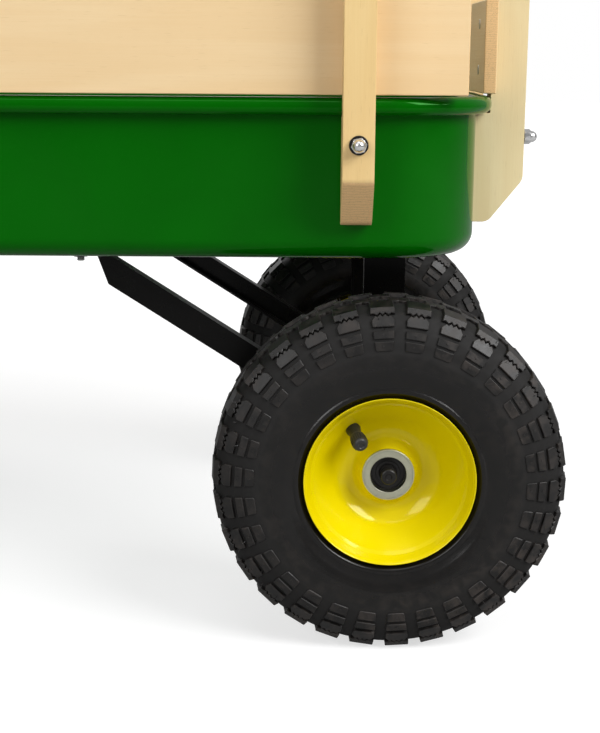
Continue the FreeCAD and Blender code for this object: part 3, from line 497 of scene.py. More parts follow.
class Wiring:
    """Adds nodes to one tree and joins them."""

    def __init__(self, tree: bpy.types.NodeTree) -> None:
        """Start on a tree.

        Args:
            tree: The node tree of a material, a world or a group.
        """
        self.tree = tree

    def feed(self, socket: bpy.types.NodeSocket, value: Any) -> None:
        """Link a socket to another, or set its value.

        Args:
            socket: The input.
            value: Another socket, or a plain value.
        """
        if isinstance(value, bpy.types.NodeSocket):
            self.tree.links.new(value, socket)
        else:
            socket.default_value = value

    def add(self, kind: str, inputs: dict[Any, Any], **settings: Any) -> bpy.types.Node:
        """Add a node.

        Args:
            kind: The node's type.
            inputs: Value or socket for each named or numbered input.
            settings: The node's own settings.

        Returns:
            The node.
        """
        node = self.tree.nodes.new(kind)
        for name, value in settings.items():
            setattr(node, name, value)
        for name, value in inputs.items():
            self.feed(node.inputs[name], value)
        return node

    def place(self) -> bpy.types.NodeSocket:
        """Place on the object."""
        return self.add("ShaderNodeTexCoord", {}).outputs["Object"]

    def attribute(self, name: str) -> bpy.types.NodeSocket:
        """A vector written on the piece's points."""
        return self.add("ShaderNodeAttribute", {}, attribute_name=name).outputs["Vector"]

    def stretch(self, vector: Any, scale: Sequence[float], turn: Sequence[float] = (0, 0, 0)) -> Any:
        """Turn a place, then stretch it, for a pattern that runs one way."""
        turned = self.add("ShaderNodeMapping", {"Vector": vector, "Rotation": turn}).outputs[0]
        return self.add("ShaderNodeMapping", {"Vector": turned, "Scale": scale}).outputs[0]

    def noise(self, vector: Any, scale: Any, detail: float = 3, distortion: float = 0) -> Any:
        """Soft random pattern from 0 to 1."""
        return self.add("ShaderNodeTexNoise", {"Vector": vector, "Scale": scale, "Detail": detail,
                                               "Distortion": distortion}).outputs[0]

    def span(self, value: Any, low: Any, high: Any, start: Any = 0.0, end: Any = 1.0) -> Any:
        """Map a stretch of values onto another, and stop at its ends."""
        return self.add("ShaderNodeMapRange", {0: value, 1: low, 2: high, 3: start, 4: end}).outputs[0]

    def maths(self, operation: str, first: Any, second: Any = 0.0) -> Any:
        """One sum."""
        return self.add("ShaderNodeMath", {0: first, 1: second}, operation=operation).outputs[0]

    def blend(self, mask: Any, first: Any, second: Any, mode: str = "MIX") -> Any:
        """Mix two colours."""
        colours = [(*c, 1.0) if isinstance(c, tuple) and len(c) == 3 else c for c in (first, second)]
        return self.add("ShaderNodeMix", {0: mask, 6: colours[0], 7: colours[1]},
                        data_type="RGBA", blend_type=mode).outputs[2]

    def bump(self, height: Any, depth: float, strength: float = 1.0, normal: Any = None) -> Any:
        """Normal of a surface that rises by the height times the depth in millimetres.

        Args:
            height: The pattern that rises.
            depth: How far it rises, in millimetres.
            strength: Share of it that shows.
            normal: A normal that it is laid on, or none.

        Returns:
            The normal.
        """
        inputs = {"Height": height, "Distance": depth / 1000, "Strength": strength}
        if normal is not None:
            inputs["Normal"] = normal
        return self.add("ShaderNodeBump", inputs).outputs[0]

    def effect(self, tree: bpy.types.NodeTree, inputs: dict[str, Any]) -> bpy.types.Node:
        """Place a shared effect with this material's own values.

        Args:
            tree: The effect.
            inputs: Value or socket for each named input.

        Returns:
            The group's node.
        """
        node = self.tree.nodes.new("ShaderNodeGroup")
        node.node_tree = tree
        for name, value in inputs.items():
            self.feed(node.inputs[name], value)
        return node


class Effect:
    """A shared effect: a node group that is built once, when it is first asked for."""

    made: dict[str, bpy.types.NodeTree] = {}

    @classmethod
    def start(cls, name: str, inputs: dict[str, tuple[str, Any]],
              outputs: Sequence[str]) -> tuple[Wiring, Any, bpy.types.Node]:
        """Open a new group with its named sockets.

        Args:
            name: The group's name.
            inputs: Type and starting value of each input.
            outputs: Names of the outputs, which are all plain values.

        Returns:
            Its wiring, its inputs and its output node.
        """
        tree = bpy.data.node_groups.new(name, "ShaderNodeTree")
        for label, (kind, value) in inputs.items():
            socket = tree.interface.new_socket(label, in_out="INPUT", socket_type=kind)
            if kind == "NodeSocketFloat":
                socket.default_value = value
        for label in outputs:
            tree.interface.new_socket(label, in_out="OUTPUT", socket_type="NodeSocketFloat")
        cls.made[name] = tree
        wiring = Wiring(tree)
        return wiring, wiring.add("NodeGroupInput", {}).outputs, wiring.add("NodeGroupOutput", {})

    @classmethod
    def spray(cls) -> bpy.types.NodeTree:
        """Skin of sprayed paint: fine orange peel over a slow wave, and a faint cloudiness.

        Returns:
            The group.
        """
        if "Sprayed skin" not in cls.made:
            wiring, given, out = cls.start("Sprayed skin", {
                "Peel Scale": ("NodeSocketFloat", 420.0), "Wave Scale": ("NodeSocketFloat", 9.0),
                "Wave Share": ("NodeSocketFloat", 0.6)}, ["Height", "Cloud", "Specks"])
            place = wiring.place()
            peel = wiring.noise(place, given["Peel Scale"], 1)
            wave = wiring.noise(place, given["Wave Scale"], 1)
            lifted = wiring.maths("MULTIPLY", wave, given["Wave Share"])
            specks = wiring.noise(place, 900, 1)
            wiring.feed(out.inputs["Height"], wiring.maths("ADD", peel, lifted))
            wiring.feed(out.inputs["Cloud"], wiring.noise(place, 14, 3, 0.4))
            wiring.feed(out.inputs["Specks"], wiring.span(specks, 0.74, 0.8))
        return cls.made["Sprayed skin"]

    @classmethod
    def dust(cls) -> bpy.types.NodeTree:
        """Thin dust that lies on faces that look up, in soft patches.

        Returns:
            The group.
        """
        if "Dust film" not in cls.made:
            wiring, given, out = cls.start("Dust film", {
                "Amount": ("NodeSocketFloat", 0.3), "Scale": ("NodeSocketFloat", 18.0)}, ["Mask"])
            place = wiring.place()
            normal = wiring.add("ShaderNodeNewGeometry", {}).outputs["Normal"]
            upward = wiring.add("ShaderNodeSeparateXYZ", {0: normal}).outputs[2]
            patches = wiring.span(wiring.noise(place, given["Scale"], 4), 0.4, 0.75)
            fine = wiring.span(wiring.noise(place, 1500, 1), 0.35, 0.7, 0.5)
            lying = wiring.maths("MULTIPLY", wiring.span(upward, 0.2, 1.0, 0.12), patches)
            wiring.feed(out.inputs["Mask"], wiring.maths("MULTIPLY", wiring.maths("MULTIPLY", lying, fine),
                                                         given["Amount"]))
        return cls.made["Dust film"]

    @classmethod
    def figure(cls) -> bpy.types.NodeTree:
        """Figure of planed timber whose grain runs along Z of the vector that it is given.

        Returns:
            The group.
        """
        if "Timber figure" not in cls.made:
            wiring, given, out = cls.start("Timber figure", {
                "Vector": ("NodeSocketVector", None), "Line Scale": ("NodeSocketFloat", 1.0)},
                ["Tone", "Streaks", "Pores", "Height"])
            vector = given["Vector"]
            drift = wiring.noise(wiring.stretch(vector, (9, 9, 1.1)), 1.0, 2)
            sway = wiring.noise(wiring.stretch(vector, (70, 70, 3)), given["Line Scale"], 2, 0.6)
            swayed = wiring.maths("ADD", drift, wiring.maths("MULTIPLY", sway, 0.12))
            rings = wiring.maths("SINE", wiring.maths("MULTIPLY", swayed, 60))
            tone = wiring.maths("ADD", wiring.span(rings, -1, 1, 0, 0.45),
                                wiring.span(drift, 0.3, 0.7, 0, 0.55))
            streaks = wiring.noise(wiring.stretch(vector, (800, 800, 14)), given["Line Scale"], 2)
            pores = wiring.span(wiring.noise(wiring.stretch(vector, (1600, 1600, 90)), 1.0, 1), 0.66, 0.74)
            wiring.feed(out.inputs["Tone"], tone)
            wiring.feed(out.inputs["Streaks"], wiring.span(streaks, 0.3, 0.7))
            wiring.feed(out.inputs["Pores"], pores)
            wiring.feed(out.inputs["Height"], wiring.maths("SUBTRACT", streaks, pores))
        return cls.made["Timber figure"]

    @classmethod
    def turning(cls) -> bpy.types.NodeTree:
        """Rings that a lathe tool leaves, from the distance to the axle.

        Returns:
            The group.
        """
        if "Turning marks" not in cls.made:
            wiring, given, out = cls.start("Turning marks", {
                "Vector": ("NodeSocketVector", None), "Pitch": ("NodeSocketFloat", 900.0)},
                ["Height", "Mask"])
            apart = wiring.add("ShaderNodeSeparateXYZ", {0: given["Vector"]}).outputs
            squares = wiring.maths("ADD", wiring.maths("POWER", apart[0], 2),
                                   wiring.maths("POWER", apart[2], 2))
            radius = wiring.maths("SQRT", squares)
            line = wiring.add("ShaderNodeCombineXYZ", {0: radius, 1: wiring.maths("MULTIPLY", apart[1], 0.5)})
            rings = wiring.noise(line.outputs[0], given["Pitch"], 3)
            wiring.feed(out.inputs["Height"], rings)
            wiring.feed(out.inputs["Mask"], wiring.span(wiring.noise(given["Vector"], 130, 3), 0.35, 0.7))
        return cls.made["Turning marks"]

    @classmethod
    def scuffs(cls) -> bpy.types.NodeTree:
        """Sparse small rubs from handling, in short strokes.

        Returns:
            The group.
        """
        if "Handling rubs" not in cls.made:
            wiring, given, out = cls.start("Handling rubs", {
                "Scale": ("NodeSocketFloat", 60.0), "Amount": ("NodeSocketFloat", 0.5)}, ["Mask"])
            place = wiring.place()
            where = wiring.span(wiring.noise(place, given["Scale"], 2), 0.6, 0.72)
            strokes = wiring.noise(wiring.stretch(place, (900, 240, 500)), 1.0, 2, 0.8)
            rubbed = wiring.maths("MULTIPLY", where, wiring.span(strokes, 0.5, 0.7))
            wiring.feed(out.inputs["Mask"], wiring.maths("MULTIPLY", rubbed, given["Amount"]))
        return cls.made["Handling rubs"]


@dataclass(frozen=True)
class Finish:
    """What all finishes share: a name, a colour and how rough the surface is."""

    name: str
    colour: Colour
    rough: float = 0.5

    def material(self) -> bpy.types.Material:
        """The finish as a material, made when it is first asked for.

        Returns:
            The material.
        """
        ready = bpy.data.materials.get(self.name)
        if ready:
            return ready
        made = bpy.data.materials.new(self.name)
        made.use_nodes = True
        made.diffuse_color = (*self.colour, 1.0)
        wiring = Wiring(made.node_tree)
        shader = made.node_tree.nodes["Principled BSDF"]
        shader.inputs["Base Color"].default_value = (*self.colour, 1.0)
        shader.inputs["Roughness"].default_value = self.rough
        self.wire(wiring, shader.inputs)
        return made

    def wire(self, wiring: Wiring, shader: Any) -> None:
        """Add the finish's own detail.

        Args:
            wiring: Adds nodes to the material.
            shader: The inputs of its Principled BSDF.
        """
        raise NotImplementedError


@dataclass(frozen=True)
class Enamel(Finish):
    """Sprayed gloss paint, whose sheen takes on its own colour except at grazing angles."""

    tint: Colour = (1.0, 1.0, 1.0)
    deep: Colour = (0.0, 0.0, 0.0)
    peel: float = 0.02
    dust: float = 0.02
    level: float = 0.5

    def wire(self, wiring: Wiring, shader: Any) -> None:
        """Paint with orange peel, faint clouds, pin specks and a little dust.

        Args:
            wiring: Adds nodes to the material.
            shader: The inputs of its Principled BSDF.
        """
        skin = wiring.effect(Effect.spray(), {}).outputs
        film = wiring.effect(Effect.dust(), {"Amount": self.dust}).outputs["Mask"]
        rubs = wiring.effect(Effect.scuffs(), {"Scale": 40.0, "Amount": 0.25}).outputs["Mask"]
        cloud = wiring.span(skin["Cloud"], 0.3, 0.7, 0.0, 1.0)
        paint = wiring.blend(cloud, self.colour, self.deep)
        paler = tuple(min(1.0, c * 1.5 + 0.02) for c in self.colour)
        paint = wiring.blend(wiring.maths("MULTIPLY", skin["Specks"], 0.35), paint, paler)
        wiring.feed(shader["Base Color"], wiring.blend(film, paint, (0.42, 0.4, 0.36)))
        gloss = wiring.span(skin["Cloud"], 0.3, 0.7, self.rough * 0.85, self.rough * 1.15)
        gloss = wiring.maths("ADD", gloss, wiring.maths("MULTIPLY", wiring.maths("ADD", rubs, film), 0.5))
        wiring.feed(shader["Roughness"], gloss)
        wiring.feed(shader["Normal"], wiring.bump(skin["Height"], self.peel))
        wiring.feed(shader["Specular Tint"], (*self.tint, 1.0))
        wiring.feed(shader["Specular IOR Level"], self.level)


@dataclass(frozen=True)
class SatinBlack(Finish):
    """Black powder coat on steel."""

    level: float = 0.4

    def wire(self, wiring: Wiring, shader: Any) -> None:
        """Fine leathery skin, dust and small rubs.

        Args:
            wiring: Adds nodes to the material.
            shader: The inputs of its Principled BSDF.
        """
        skin = wiring.effect(Effect.spray(), {"Peel Scale": 700.0, "Wave Scale": 30.0,
                                              "Wave Share": 0.4}).outputs
        film = wiring.effect(Effect.dust(), {"Amount": 0.08}).outputs["Mask"]
        rubs = wiring.effect(Effect.scuffs(), {"Scale": 75.0, "Amount": 0.3})
        paler = tuple(c * 3 + 0.02 for c in self.colour)
        coat = wiring.blend(rubs.outputs["Mask"], self.colour, paler)
        coat = wiring.blend(wiring.maths("MULTIPLY", skin["Specks"], 0.3), coat, paler)
        wiring.feed(shader["Base Color"], wiring.blend(film, coat, (0.24, 0.23, 0.21)))
        gloss = wiring.span(skin["Cloud"], 0.3, 0.7, self.rough * 0.8, self.rough * 1.2)
        wiring.feed(shader["Roughness"], gloss)
        wiring.feed(shader["Normal"], wiring.bump(skin["Height"], 0.03))
        wiring.feed(shader["Specular IOR Level"], self.level)


@dataclass(frozen=True)
class Timber(Finish):
    """Pale planed timber under thin lacquer, with its grain along the board."""

    grain: Grain = Grain.UPRIGHT
    dark: Colour = (0.66, 0.44, 0.2)

    def wire(self, wiring: Wiring, shader: Any) -> None:
        """Growth lines, fibre streaks and pores, and a tone for each board.

        Args:
            wiring: Adds nodes to the material.
            shader: The inputs of its Principled BSDF.
        """
        vector = wiring.stretch(wiring.place(), (1, 1, 1), self.grain.value)
        figure = wiring.effect(Effect.figure(), {"Vector": vector}).outputs
        board = wiring.add("ShaderNodeSeparateXYZ", {0: wiring.attribute("board")}).outputs
        wood = wiring.blend(wiring.span(figure["Tone"], 0.0, 1.0, 0.0, 0.62), self.colour, self.dark)
        wood = wiring.blend(wiring.span(figure["Streaks"], 0.0, 1.0, 0.22, 0.0), wood, self.dark)
        wood = wiring.blend(wiring.maths("MULTIPLY", figure["Pores"], 0.16), wood, (0.4, 0.24, 0.1))
        warm = wiring.blend(wiring.span(board[0], 0.0, 0.3), (1.0, 1.12, 1.16), (1.04, 1.04, 1.08))
        warm = wiring.blend(wiring.span(board[0], 0.3, 1.0), warm, (0.98, 0.93, 0.72))
        wiring.feed(shader["Base Color"], wiring.blend(1.0, wood, warm, "MULTIPLY"))
        gloss = wiring.span(figure["Streaks"], 0.0, 1.0, self.rough * 1.15, self.rough * 0.9)
        wiring.feed(shader["Roughness"], gloss)
        wiring.feed(shader["Normal"], wiring.bump(figure["Height"], 0.06))
        wiring.feed(shader["Specular IOR Level"], 0.35)


@dataclass(frozen=True)
class EndGrain(Finish):
    """Sawn end of a board: darker, with pores and curved growth lines."""

    grain: Grain = Grain.UPRIGHT

    def wire(self, wiring: Wiring, shader: Any) -> None:
        """Growth lines round a far centre, saw marks and open pores.

        Args:
            wiring: Adds nodes to the material.
            shader: The inputs of its Principled BSDF.
        """
        vector = wiring.stretch(wiring.place(), (1, 1, 1), self.grain.value)
        bent = wiring.stretch(vector, (60, 130, 4))
        rings = wiring.add("ShaderNodeTexWave", {
            "Vector": bent, "Scale": 1.6, "Distortion": 5.0, "Detail": 2.0}, wave_type="RINGS").outputs[1]
        pores = wiring.span(wiring.noise(vector, 1500, 2), 0.55, 0.7)
        saw = wiring.noise(wiring.stretch(wiring.place(), (60, 60, 1500)), 1.0, 2)
        shade = tuple(c * 0.62 for c in self.colour)
        wood = wiring.blend(wiring.span(rings, 0.0, 1.0, 0.1, 0.4), self.colour, shade)
        wood = wiring.blend(wiring.maths("MULTIPLY", pores, 0.5), wood, tuple(c * 0.4 for c in self.colour))
        wiring.feed(shader["Base Color"], wood)
        wiring.feed(shader["Normal"], wiring.bump(wiring.maths("SUBTRACT", saw, pores), 0.03))
        wiring.feed(shader["Specular IOR Level"], 0.2)


@dataclass(frozen=True)
class Rubber(Finish):
    """Moulded rubber. On a wheel it is smoother in the ring beside the rim."""

    wheel: bool = False
    bloom: Colour = (0.07, 0.062, 0.055)
    shine: float = 0.34
    uneven: float = 3.0
    level: float = 0.4
    gap_shade: float = 0.0

    def wire(self, wiring: Wiring, shader: Any) -> None:
        """Fine mould grain, a brownish bloom and dust, the smooth ring on a tyre, and painted shade in the
        tread's gaps.

        Args:
            wiring: Adds nodes to the material.
            shader: The inputs of its Principled BSDF.
        """
        place = wiring.attribute("wheel") if self.wheel else wiring.place()
        grit = wiring.noise(place, 1300, 2)
        cloud = wiring.noise(place, 110, 5, 0.6)
        wide = wiring.noise(place, 14, 2)
        bloom = wiring.maths("MULTIPLY", wiring.span(cloud, 0.42, 0.66),
                             wiring.span(wide, 0.35, 0.65, 0.3, 1.0))
        rough = wiring.span(cloud, 0.3, 0.7, self.rough * 0.85, self.rough * 1.15)
        uneven = wiring.maths("MULTIPLY", wiring.noise(place, 85, 2), self.uneven)
        depth = wiring.maths("ADD", grit, uneven)
        if self.wheel:
            apart = wiring.add("ShaderNodeSeparateXYZ", {0: place}).outputs
            flat = wiring.add("ShaderNodeCombineXYZ", {0: apart[0], 1: apart[2]}).outputs[0]
            radius = wiring.add("ShaderNodeVectorMath", {0: flat}, operation="LENGTH").outputs["Value"]
            outer = wiring.span(radius, 0.082, 0.092)
            duller = wiring.maths("MULTIPLY", outer, wiring.maths("SUBTRACT", rough, self.shine))
            rough = wiring.maths("ADD", duller, self.shine)
            bloom = wiring.maths("MULTIPLY", bloom, wiring.span(outer, 0, 1, 0.3, 1.0))
            # Beyond 92 mm out the casing's bloom fades and it turns rougher: painted shade in the gaps
            # between the lugs.
            bloom = wiring.maths("MULTIPLY", bloom, wiring.span(radius, 0.092, 0.1, 1.0, 1.0 - self.gap_shade))
            rough = wiring.maths("ADD", rough, wiring.span(radius, 0.092, 0.1, 0.0, self.gap_shade * 0.4))
            line = wiring.add("ShaderNodeCombineXYZ", {0: radius}).outputs[0]
            ring = wiring.noise(line, 700.0, 1.0)
            depth = wiring.maths("ADD", depth, wiring.maths("MULTIPLY", ring, 0.5))
        bloom = wiring.maths("MULTIPLY", bloom, 0.8)
        wiring.feed(shader["Base Color"], wiring.blend(bloom, self.colour, self.bloom))
        wiring.feed(shader["Roughness"], rough)
        wiring.feed(shader["Normal"], wiring.bump(depth, 0.05))
        wiring.feed(shader["Specular IOR Level"], self.level)


@dataclass(frozen=True)
class Plated(Finish):
    """Zinc or chrome plating, with turning marks on what a lathe made."""

    dull: Colour = (0.3, 0.3, 0.29)
    marks: float = 0.015
    wheel: bool = False

    def wire(self, wiring: Wiring, shader: Any) -> None:
        """Plating with turned rings or fine grain, and dull spots.

        Args:
            wiring: Adds nodes to the material.
            shader: The inputs of its Principled BSDF.
        """
        if self.wheel:
            lines = wiring.effect(Effect.turning(), {"Vector": wiring.attribute("wheel")}).outputs
            height, mask = lines["Height"], lines["Mask"]
        else:
            place = wiring.place()
            height = wiring.noise(place, 1100, 2)
            mask = wiring.span(wiring.noise(place, 160, 4), 0.4, 0.75)
        worn = wiring.maths("MULTIPLY", mask, 0.55)
        wiring.feed(shader["Base Color"], wiring.blend(worn, self.colour, self.dull))
        wiring.feed(shader["Roughness"], wiring.span(mask, 0.0, 1.0, self.rough, self.rough + 0.14))
        wiring.feed(shader["Metallic"], 1.0)
        wiring.feed(shader["Normal"], wiring.bump(height, self.marks))


GREEN = Enamel("green_enamel", (0.0, 0.102, 0.0), 0.1,
               tint=(0.24, 1.0, 0.24), deep=(0.0, 0.09, 0.0), level=0.32)
YELLOW = Enamel("yellow_enamel", (0.75, 0.61, 0.0), 0.12,
                tint=(1.0, 1.0, 0.6), deep=(0.71, 0.57, 0.0), dust=0.03, level=0.4)
BLACK = SatinBlack("black_coat", (0.0022, 0.002, 0.0018), 0.27, level=0.14)
DARK_STEEL = SatinBlack("dark_steel", (0.008, 0.0072, 0.0066), 0.28, level=0.32)
ZINC = Plated("zinc_plating", (0.55, 0.55, 0.53), 0.32, dull=(0.3, 0.29, 0.27), marks=0.02)
HUB_ZINC = Plated("turned_zinc", (0.6, 0.6, 0.46), 0.3, dull=(0.4, 0.4, 0.31), marks=0.03, wheel=True)
CHROME = Plated("chrome_plating", (0.8, 0.8, 0.8), 0.12, dull=(0.6, 0.6, 0.6), marks=0.004)
TYRE = Rubber("tyre_rubber", (0.0042, 0.0036, 0.0033), 0.46,
              wheel=True, bloom=(0.042, 0.0335, 0.0285), shine=0.22)
# Casing rubber is darker than the lugs', with less bloom, and darker again beyond 92 mm out: painted shade
# for the gaps between the lugs, which also darkens the smooth ring by the rim.
CASING = Rubber("tyre_casing", (0.0034, 0.0029, 0.0026), 0.42,
                wheel=True, bloom=(0.021, 0.017, 0.0145), shine=0.19, level=0.38, gap_shade=0.85)
# Lighter rubber on the lugs' chamfered top edges, which the pips take all over: painted highlight along the
# edges, partly edge wear.
TYRE_EDGE = Rubber("tyre_rubber_edge", (0.007, 0.006, 0.0054), 0.5,
                   wheel=True, bloom=(0.04, 0.033, 0.029), shine=0.22)
VALVE = Rubber("valve_rubber", (0.0045, 0.0037, 0.0031), 0.36, bloom=(0.016, 0.0125, 0.0105), uneven=0.0)
GRIP = Rubber("grip_rubber", (0.018, 0.018, 0.018), 0.7, bloom=(0.04, 0.04, 0.04), uneven=0.0)
PALE, TAN, SAWN = (0.79, 0.605, 0.35), (0.71, 0.49, 0.24), (0.82, 0.54, 0.26)
BOARDS = {grain: Timber("timber_" + grain.name.lower(), PALE, 0.46, grain=grain, dark=TAN) for grain in Grain}
ENDS = {grain: EndGrain("end_grain_" + grain.name.lower(), SAWN, 0.7, grain=grain) for grain in Grain}


def give(piece: bpy.types.Object, *finishes: Finish) -> bpy.types.Object:
    """Put finishes in a piece's material slots, in order.

    Args:
        piece: The piece.
        finishes: Its finishes, one a slot.

    Returns:
        The same piece.
    """
    piece.data.materials.clear()
    for finish in finishes:
        piece.data.materials.append(finish.material())
    return piece


def polish(piece: bpy.types.Object, angle: float, finish: Finish,
           flat_faces: bool = False) -> bpy.types.Object:
    """Give a piece its one finish and shade it smooth.

    Args:
        piece: The piece.
        angle: Edges sharper than this stay sharp, in degrees.
        finish: Its finish.
        flat_faces: Whether broad flat faces keep their own normal beside a rounding.

    Returns:
        The same piece.
    """
    give(piece, finish)
    smooth(piece, angle, flat_faces)
    return piece


def seat(piece: bpy.types.Object, body: str, slot: str, *stands_for: str) -> None:
    """Hang a finished piece on its body.

    Args:
        piece: The piece, finished and in place.
        body: The CAD body that it moves with.
        slot: The record's material slot; not used.
        stands_for: CAD nodes that it replaces.
    """
    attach(piece, body)
    if stands_for:
        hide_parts(*stands_for)
    faces = len(piece.data.polygons)
    log.info("%s: %d faces, on %s, for %s", piece.name, faces, body, stands_for or "itself")


class Kind(Enum):
    """The patterns of fasteners."""

    CAP_NUT = "cap_nut"
    HEAD = "head"
    NUT = "nut"
    TAIL = "tail"
    SCREW = "screw"
    BIG_HEAD = "big_head"
    BIG_NUT = "big_nut"
    BIG_TAIL = "big_tail"


@dataclass
class Fasteners:
    """Patterns of nuts, bolt heads and screws. Each stands on Z and is copied where it is needed."""

    cap_flats: float = 10.0
    cap_flat_height: float = 5.0
    cap_height: float = 10.0
    nut_flats: float = 11.4
    nut_height: float = 5.4
    big_flats: float = 19.0
    big_height: float = 9.0
    washer_radius: float = 6.75
    washer_hole: float = 3.1
    washer_height: float = 1.2
    tail: float = 4.0
    patterns: dict[Kind, bpy.types.Object] = field(default_factory=dict)

    def prism(self, name: str, flats: float, height: float, chamfer: float) -> bpy.types.Object:
        """Hexagon whose corners are turned down to a cone at its top.

        Args:
            name: The piece's name.
            flats: Size across the flats.
            height: Its height.
            chamfer: How far down the cone reaches at the corners.

        Returns:
            The hexagon.
        """
        reach = flats / math.sqrt(3)
        corners = [(reach * math.cos(k * FULL / 6), reach * math.sin(k * FULL / 6)) for k in range(6)]
        bench = Bench(name)
        bench.block(Plane(Vector(), X, Y), corners, Z * height)
        nut = bench.done()
        tool = lathe(name + "_cone", ROUND_Z, [
            (-1, 0), (-1, reach * 1.4), (height - chamfer, reach * 1.02), (height, flats / 2 * 0.98),
            (height, 0)], 48)
        modify(nut, "BOOLEAN", operation="INTERSECT", object=tool, solver="EXACT")
        put_away(tool)
        return nut

    def pattern(self, kind: Kind) -> bpy.types.Object:
        """One pattern piece, modelled when it is first asked for.

        Args:
            kind: Which fastener.

        Returns:
            The pattern.
        """
        if kind not in self.patterns:
            self.patterns[kind] = getattr(self, "model_" + kind.value)()
        return self.patterns[kind]

    def washer(self) -> bpy.types.Object:
        """Plain washer, darker than the nut. Under a cap nut its dark steel also gives the dark ring round
        the chrome, which is a painted shadow.

        Returns:
            The washer.
        """
        high, wide, hole = self.washer_height, self.washer_radius, self.washer_hole
        profile = [(0, hole), (0, wide, 0.2), (high, wide, 0.5), (high, hole)]
        return give(lathe("washer", ROUND_Z, profile, 48, closed=True), DARK_STEEL)

    def thread(self, name: str, radius: float) -> bpy.types.Object:
        """End of a bolt with turns of thread and a chamfered tip.

        Args:
            name: The piece's name.
            radius: The bolt's radius.

        Returns:
            The bolt's end.
        """
        length = self.tail
        pitch = radius / 3.2
        profile: list[Corner] = [(-1.0, 0.0), (-1.0, radius)]
        for turn in range(int((length - 0.8) / pitch)):
            start = 0.1 + turn * pitch
            profile += [(start, radius), (start + pitch / 2, radius * 0.84), (start + pitch * 0.98, radius)]
        profile += [(length - 0.7, radius * 0.98), (length, radius * 0.78), (length, 0.0)]
        return polish(lathe(name, ROUND_Z, profile, 28), 28, ZINC)

    def model_cap_nut(self) -> bpy.types.Object:
        """Chromed cap nut on its washer.

        Returns:
            The pattern.
        """
        nut = self.prism("cap_nut", self.cap_flats, self.cap_flat_height, 1.0)
        put(nut, shift(0, 0, self.washer_height))
        foot, top = self.washer_height + self.cap_flat_height, self.cap_height + self.washer_height
        dome = lathe("cap_dome", ROUND_Z, [
            (foot - 0.6, 0), (foot - 0.6, 4.5), (foot + 0.6, 4.6, 0.6), (foot + 1.2, 4.2, 0.4),
            (top, 4.1, 3.9), (top, 0)], 40, fineness=8)
        give(dome, CHROME)
        ease(nut, 0.15, 2)
        give(nut, CHROME)
        capped = join("cap_nut", [nut, dome, self.washer()])
        smooth(capped, 32)
        return capped

    def model_head(self) -> bpy.types.Object:
        """Low round head of a coach bolt.

        Returns:
            The pattern.
        """
        profile = [(-0.4, 0), (-0.4, 6.9), (0.7, 6.95, 0.4), (3.0, 3.4, 3.0), (3.0, 0)]
        return polish(lathe("round_head", ROUND_Z, profile, 40, fineness=8), 40, ZINC)

    def model_nut(self) -> bpy.types.Object:
        """Nut on its washer.

        Returns:
            The pattern.
        """
        nut = self.prism("nut", self.nut_flats, self.nut_height, 0.9)
        ease(nut, 0.2, 2)
        give(put(nut, shift(0, 0, self.washer_height)), DARK_STEEL)
        pair = join("nut", [nut, self.washer()])
        smooth(pair, 32)
        return pair

    def model_tail(self) -> bpy.types.Object:
        """Threaded end of a frame bolt below its nut."""
        return self.thread("bolt_tail", 3.0)

    def model_screw(self) -> bpy.types.Object:
        """Countersunk wood screw with a cross in its head.

        Returns:
            The pattern.
        """
        head = lathe("screw_head", ROUND_Z, [
            (-2.0, 0), (-2.0, 1.8), (-0.2, 3.7, 0.2), (0.25, 3.6, 0.2), (0.35, 2.6), (0.35, 0)], 24)
        half, wide = 2, 0.35
        slot = [(-half, -wide), (half, -wide), (half, wide), (-half, wide)]
        cross = Bench("screw_cross")
        for across, up in ((X, Y), (Y, X)):
            cross.block(Plane(Vector((0, 0, -1.1)), across, up), slot, Z * 3)
        tool = cross.done()
        modify(head, "BOOLEAN", operation="DIFFERENCE", object=tool, solver="EXACT", use_self=True)
        put_away(tool)
        return polish(head, 30, ZINC)

    def model_big_head(self) -> bpy.types.Object:
        """The kingpin's low round head.

        Returns:
            The pattern.
        """
        profile = [(-0.4, 0), (-0.4, 12.9), (1.0, 13.0, 0.6), (5.0, 6.5, 5.0), (5.0, 0)]
        return polish(lathe("kingpin_head", ROUND_Z, profile, 56, fineness=8), 40, ZINC)

    def model_big_nut(self) -> bpy.types.Object:
        """The kingpin's nut.

        Returns:
            The pattern.
        """
        nut = self.prism("kingpin_nut", self.big_flats, self.big_height, 1.4)
        ease(nut, 0.3, 2)
        return polish(nut, 32, ZINC)

    def model_big_tail(self) -> bpy.types.Object:
        """Threaded end of the kingpin below its nut."""
        return self.thread("kingpin_tail", 6.0)

    def stand(self, kind: Kind, place: Vector, way: Vector, turn: float = 0.0) -> bpy.types.Object:
        """Copy a pattern to its place.

        Args:
            kind: Which fastener.
            place: Its foot, in millimetres.
            way: Where its top points.
            turn: A turn about its own axis, in degrees.

        Returns:
            The copy.
        """
        twin = copy_of(self.pattern(kind), kind.value + "_copy")
        return put(twin, pointing(place, way) @ Matrix.Rotation(math.radians(turn), 4, "Z"))

    def tidy(self) -> None:
        """Delete the patterns."""
        for piece in self.patterns.values():
            put_away(piece)
        self.patterns.clear()


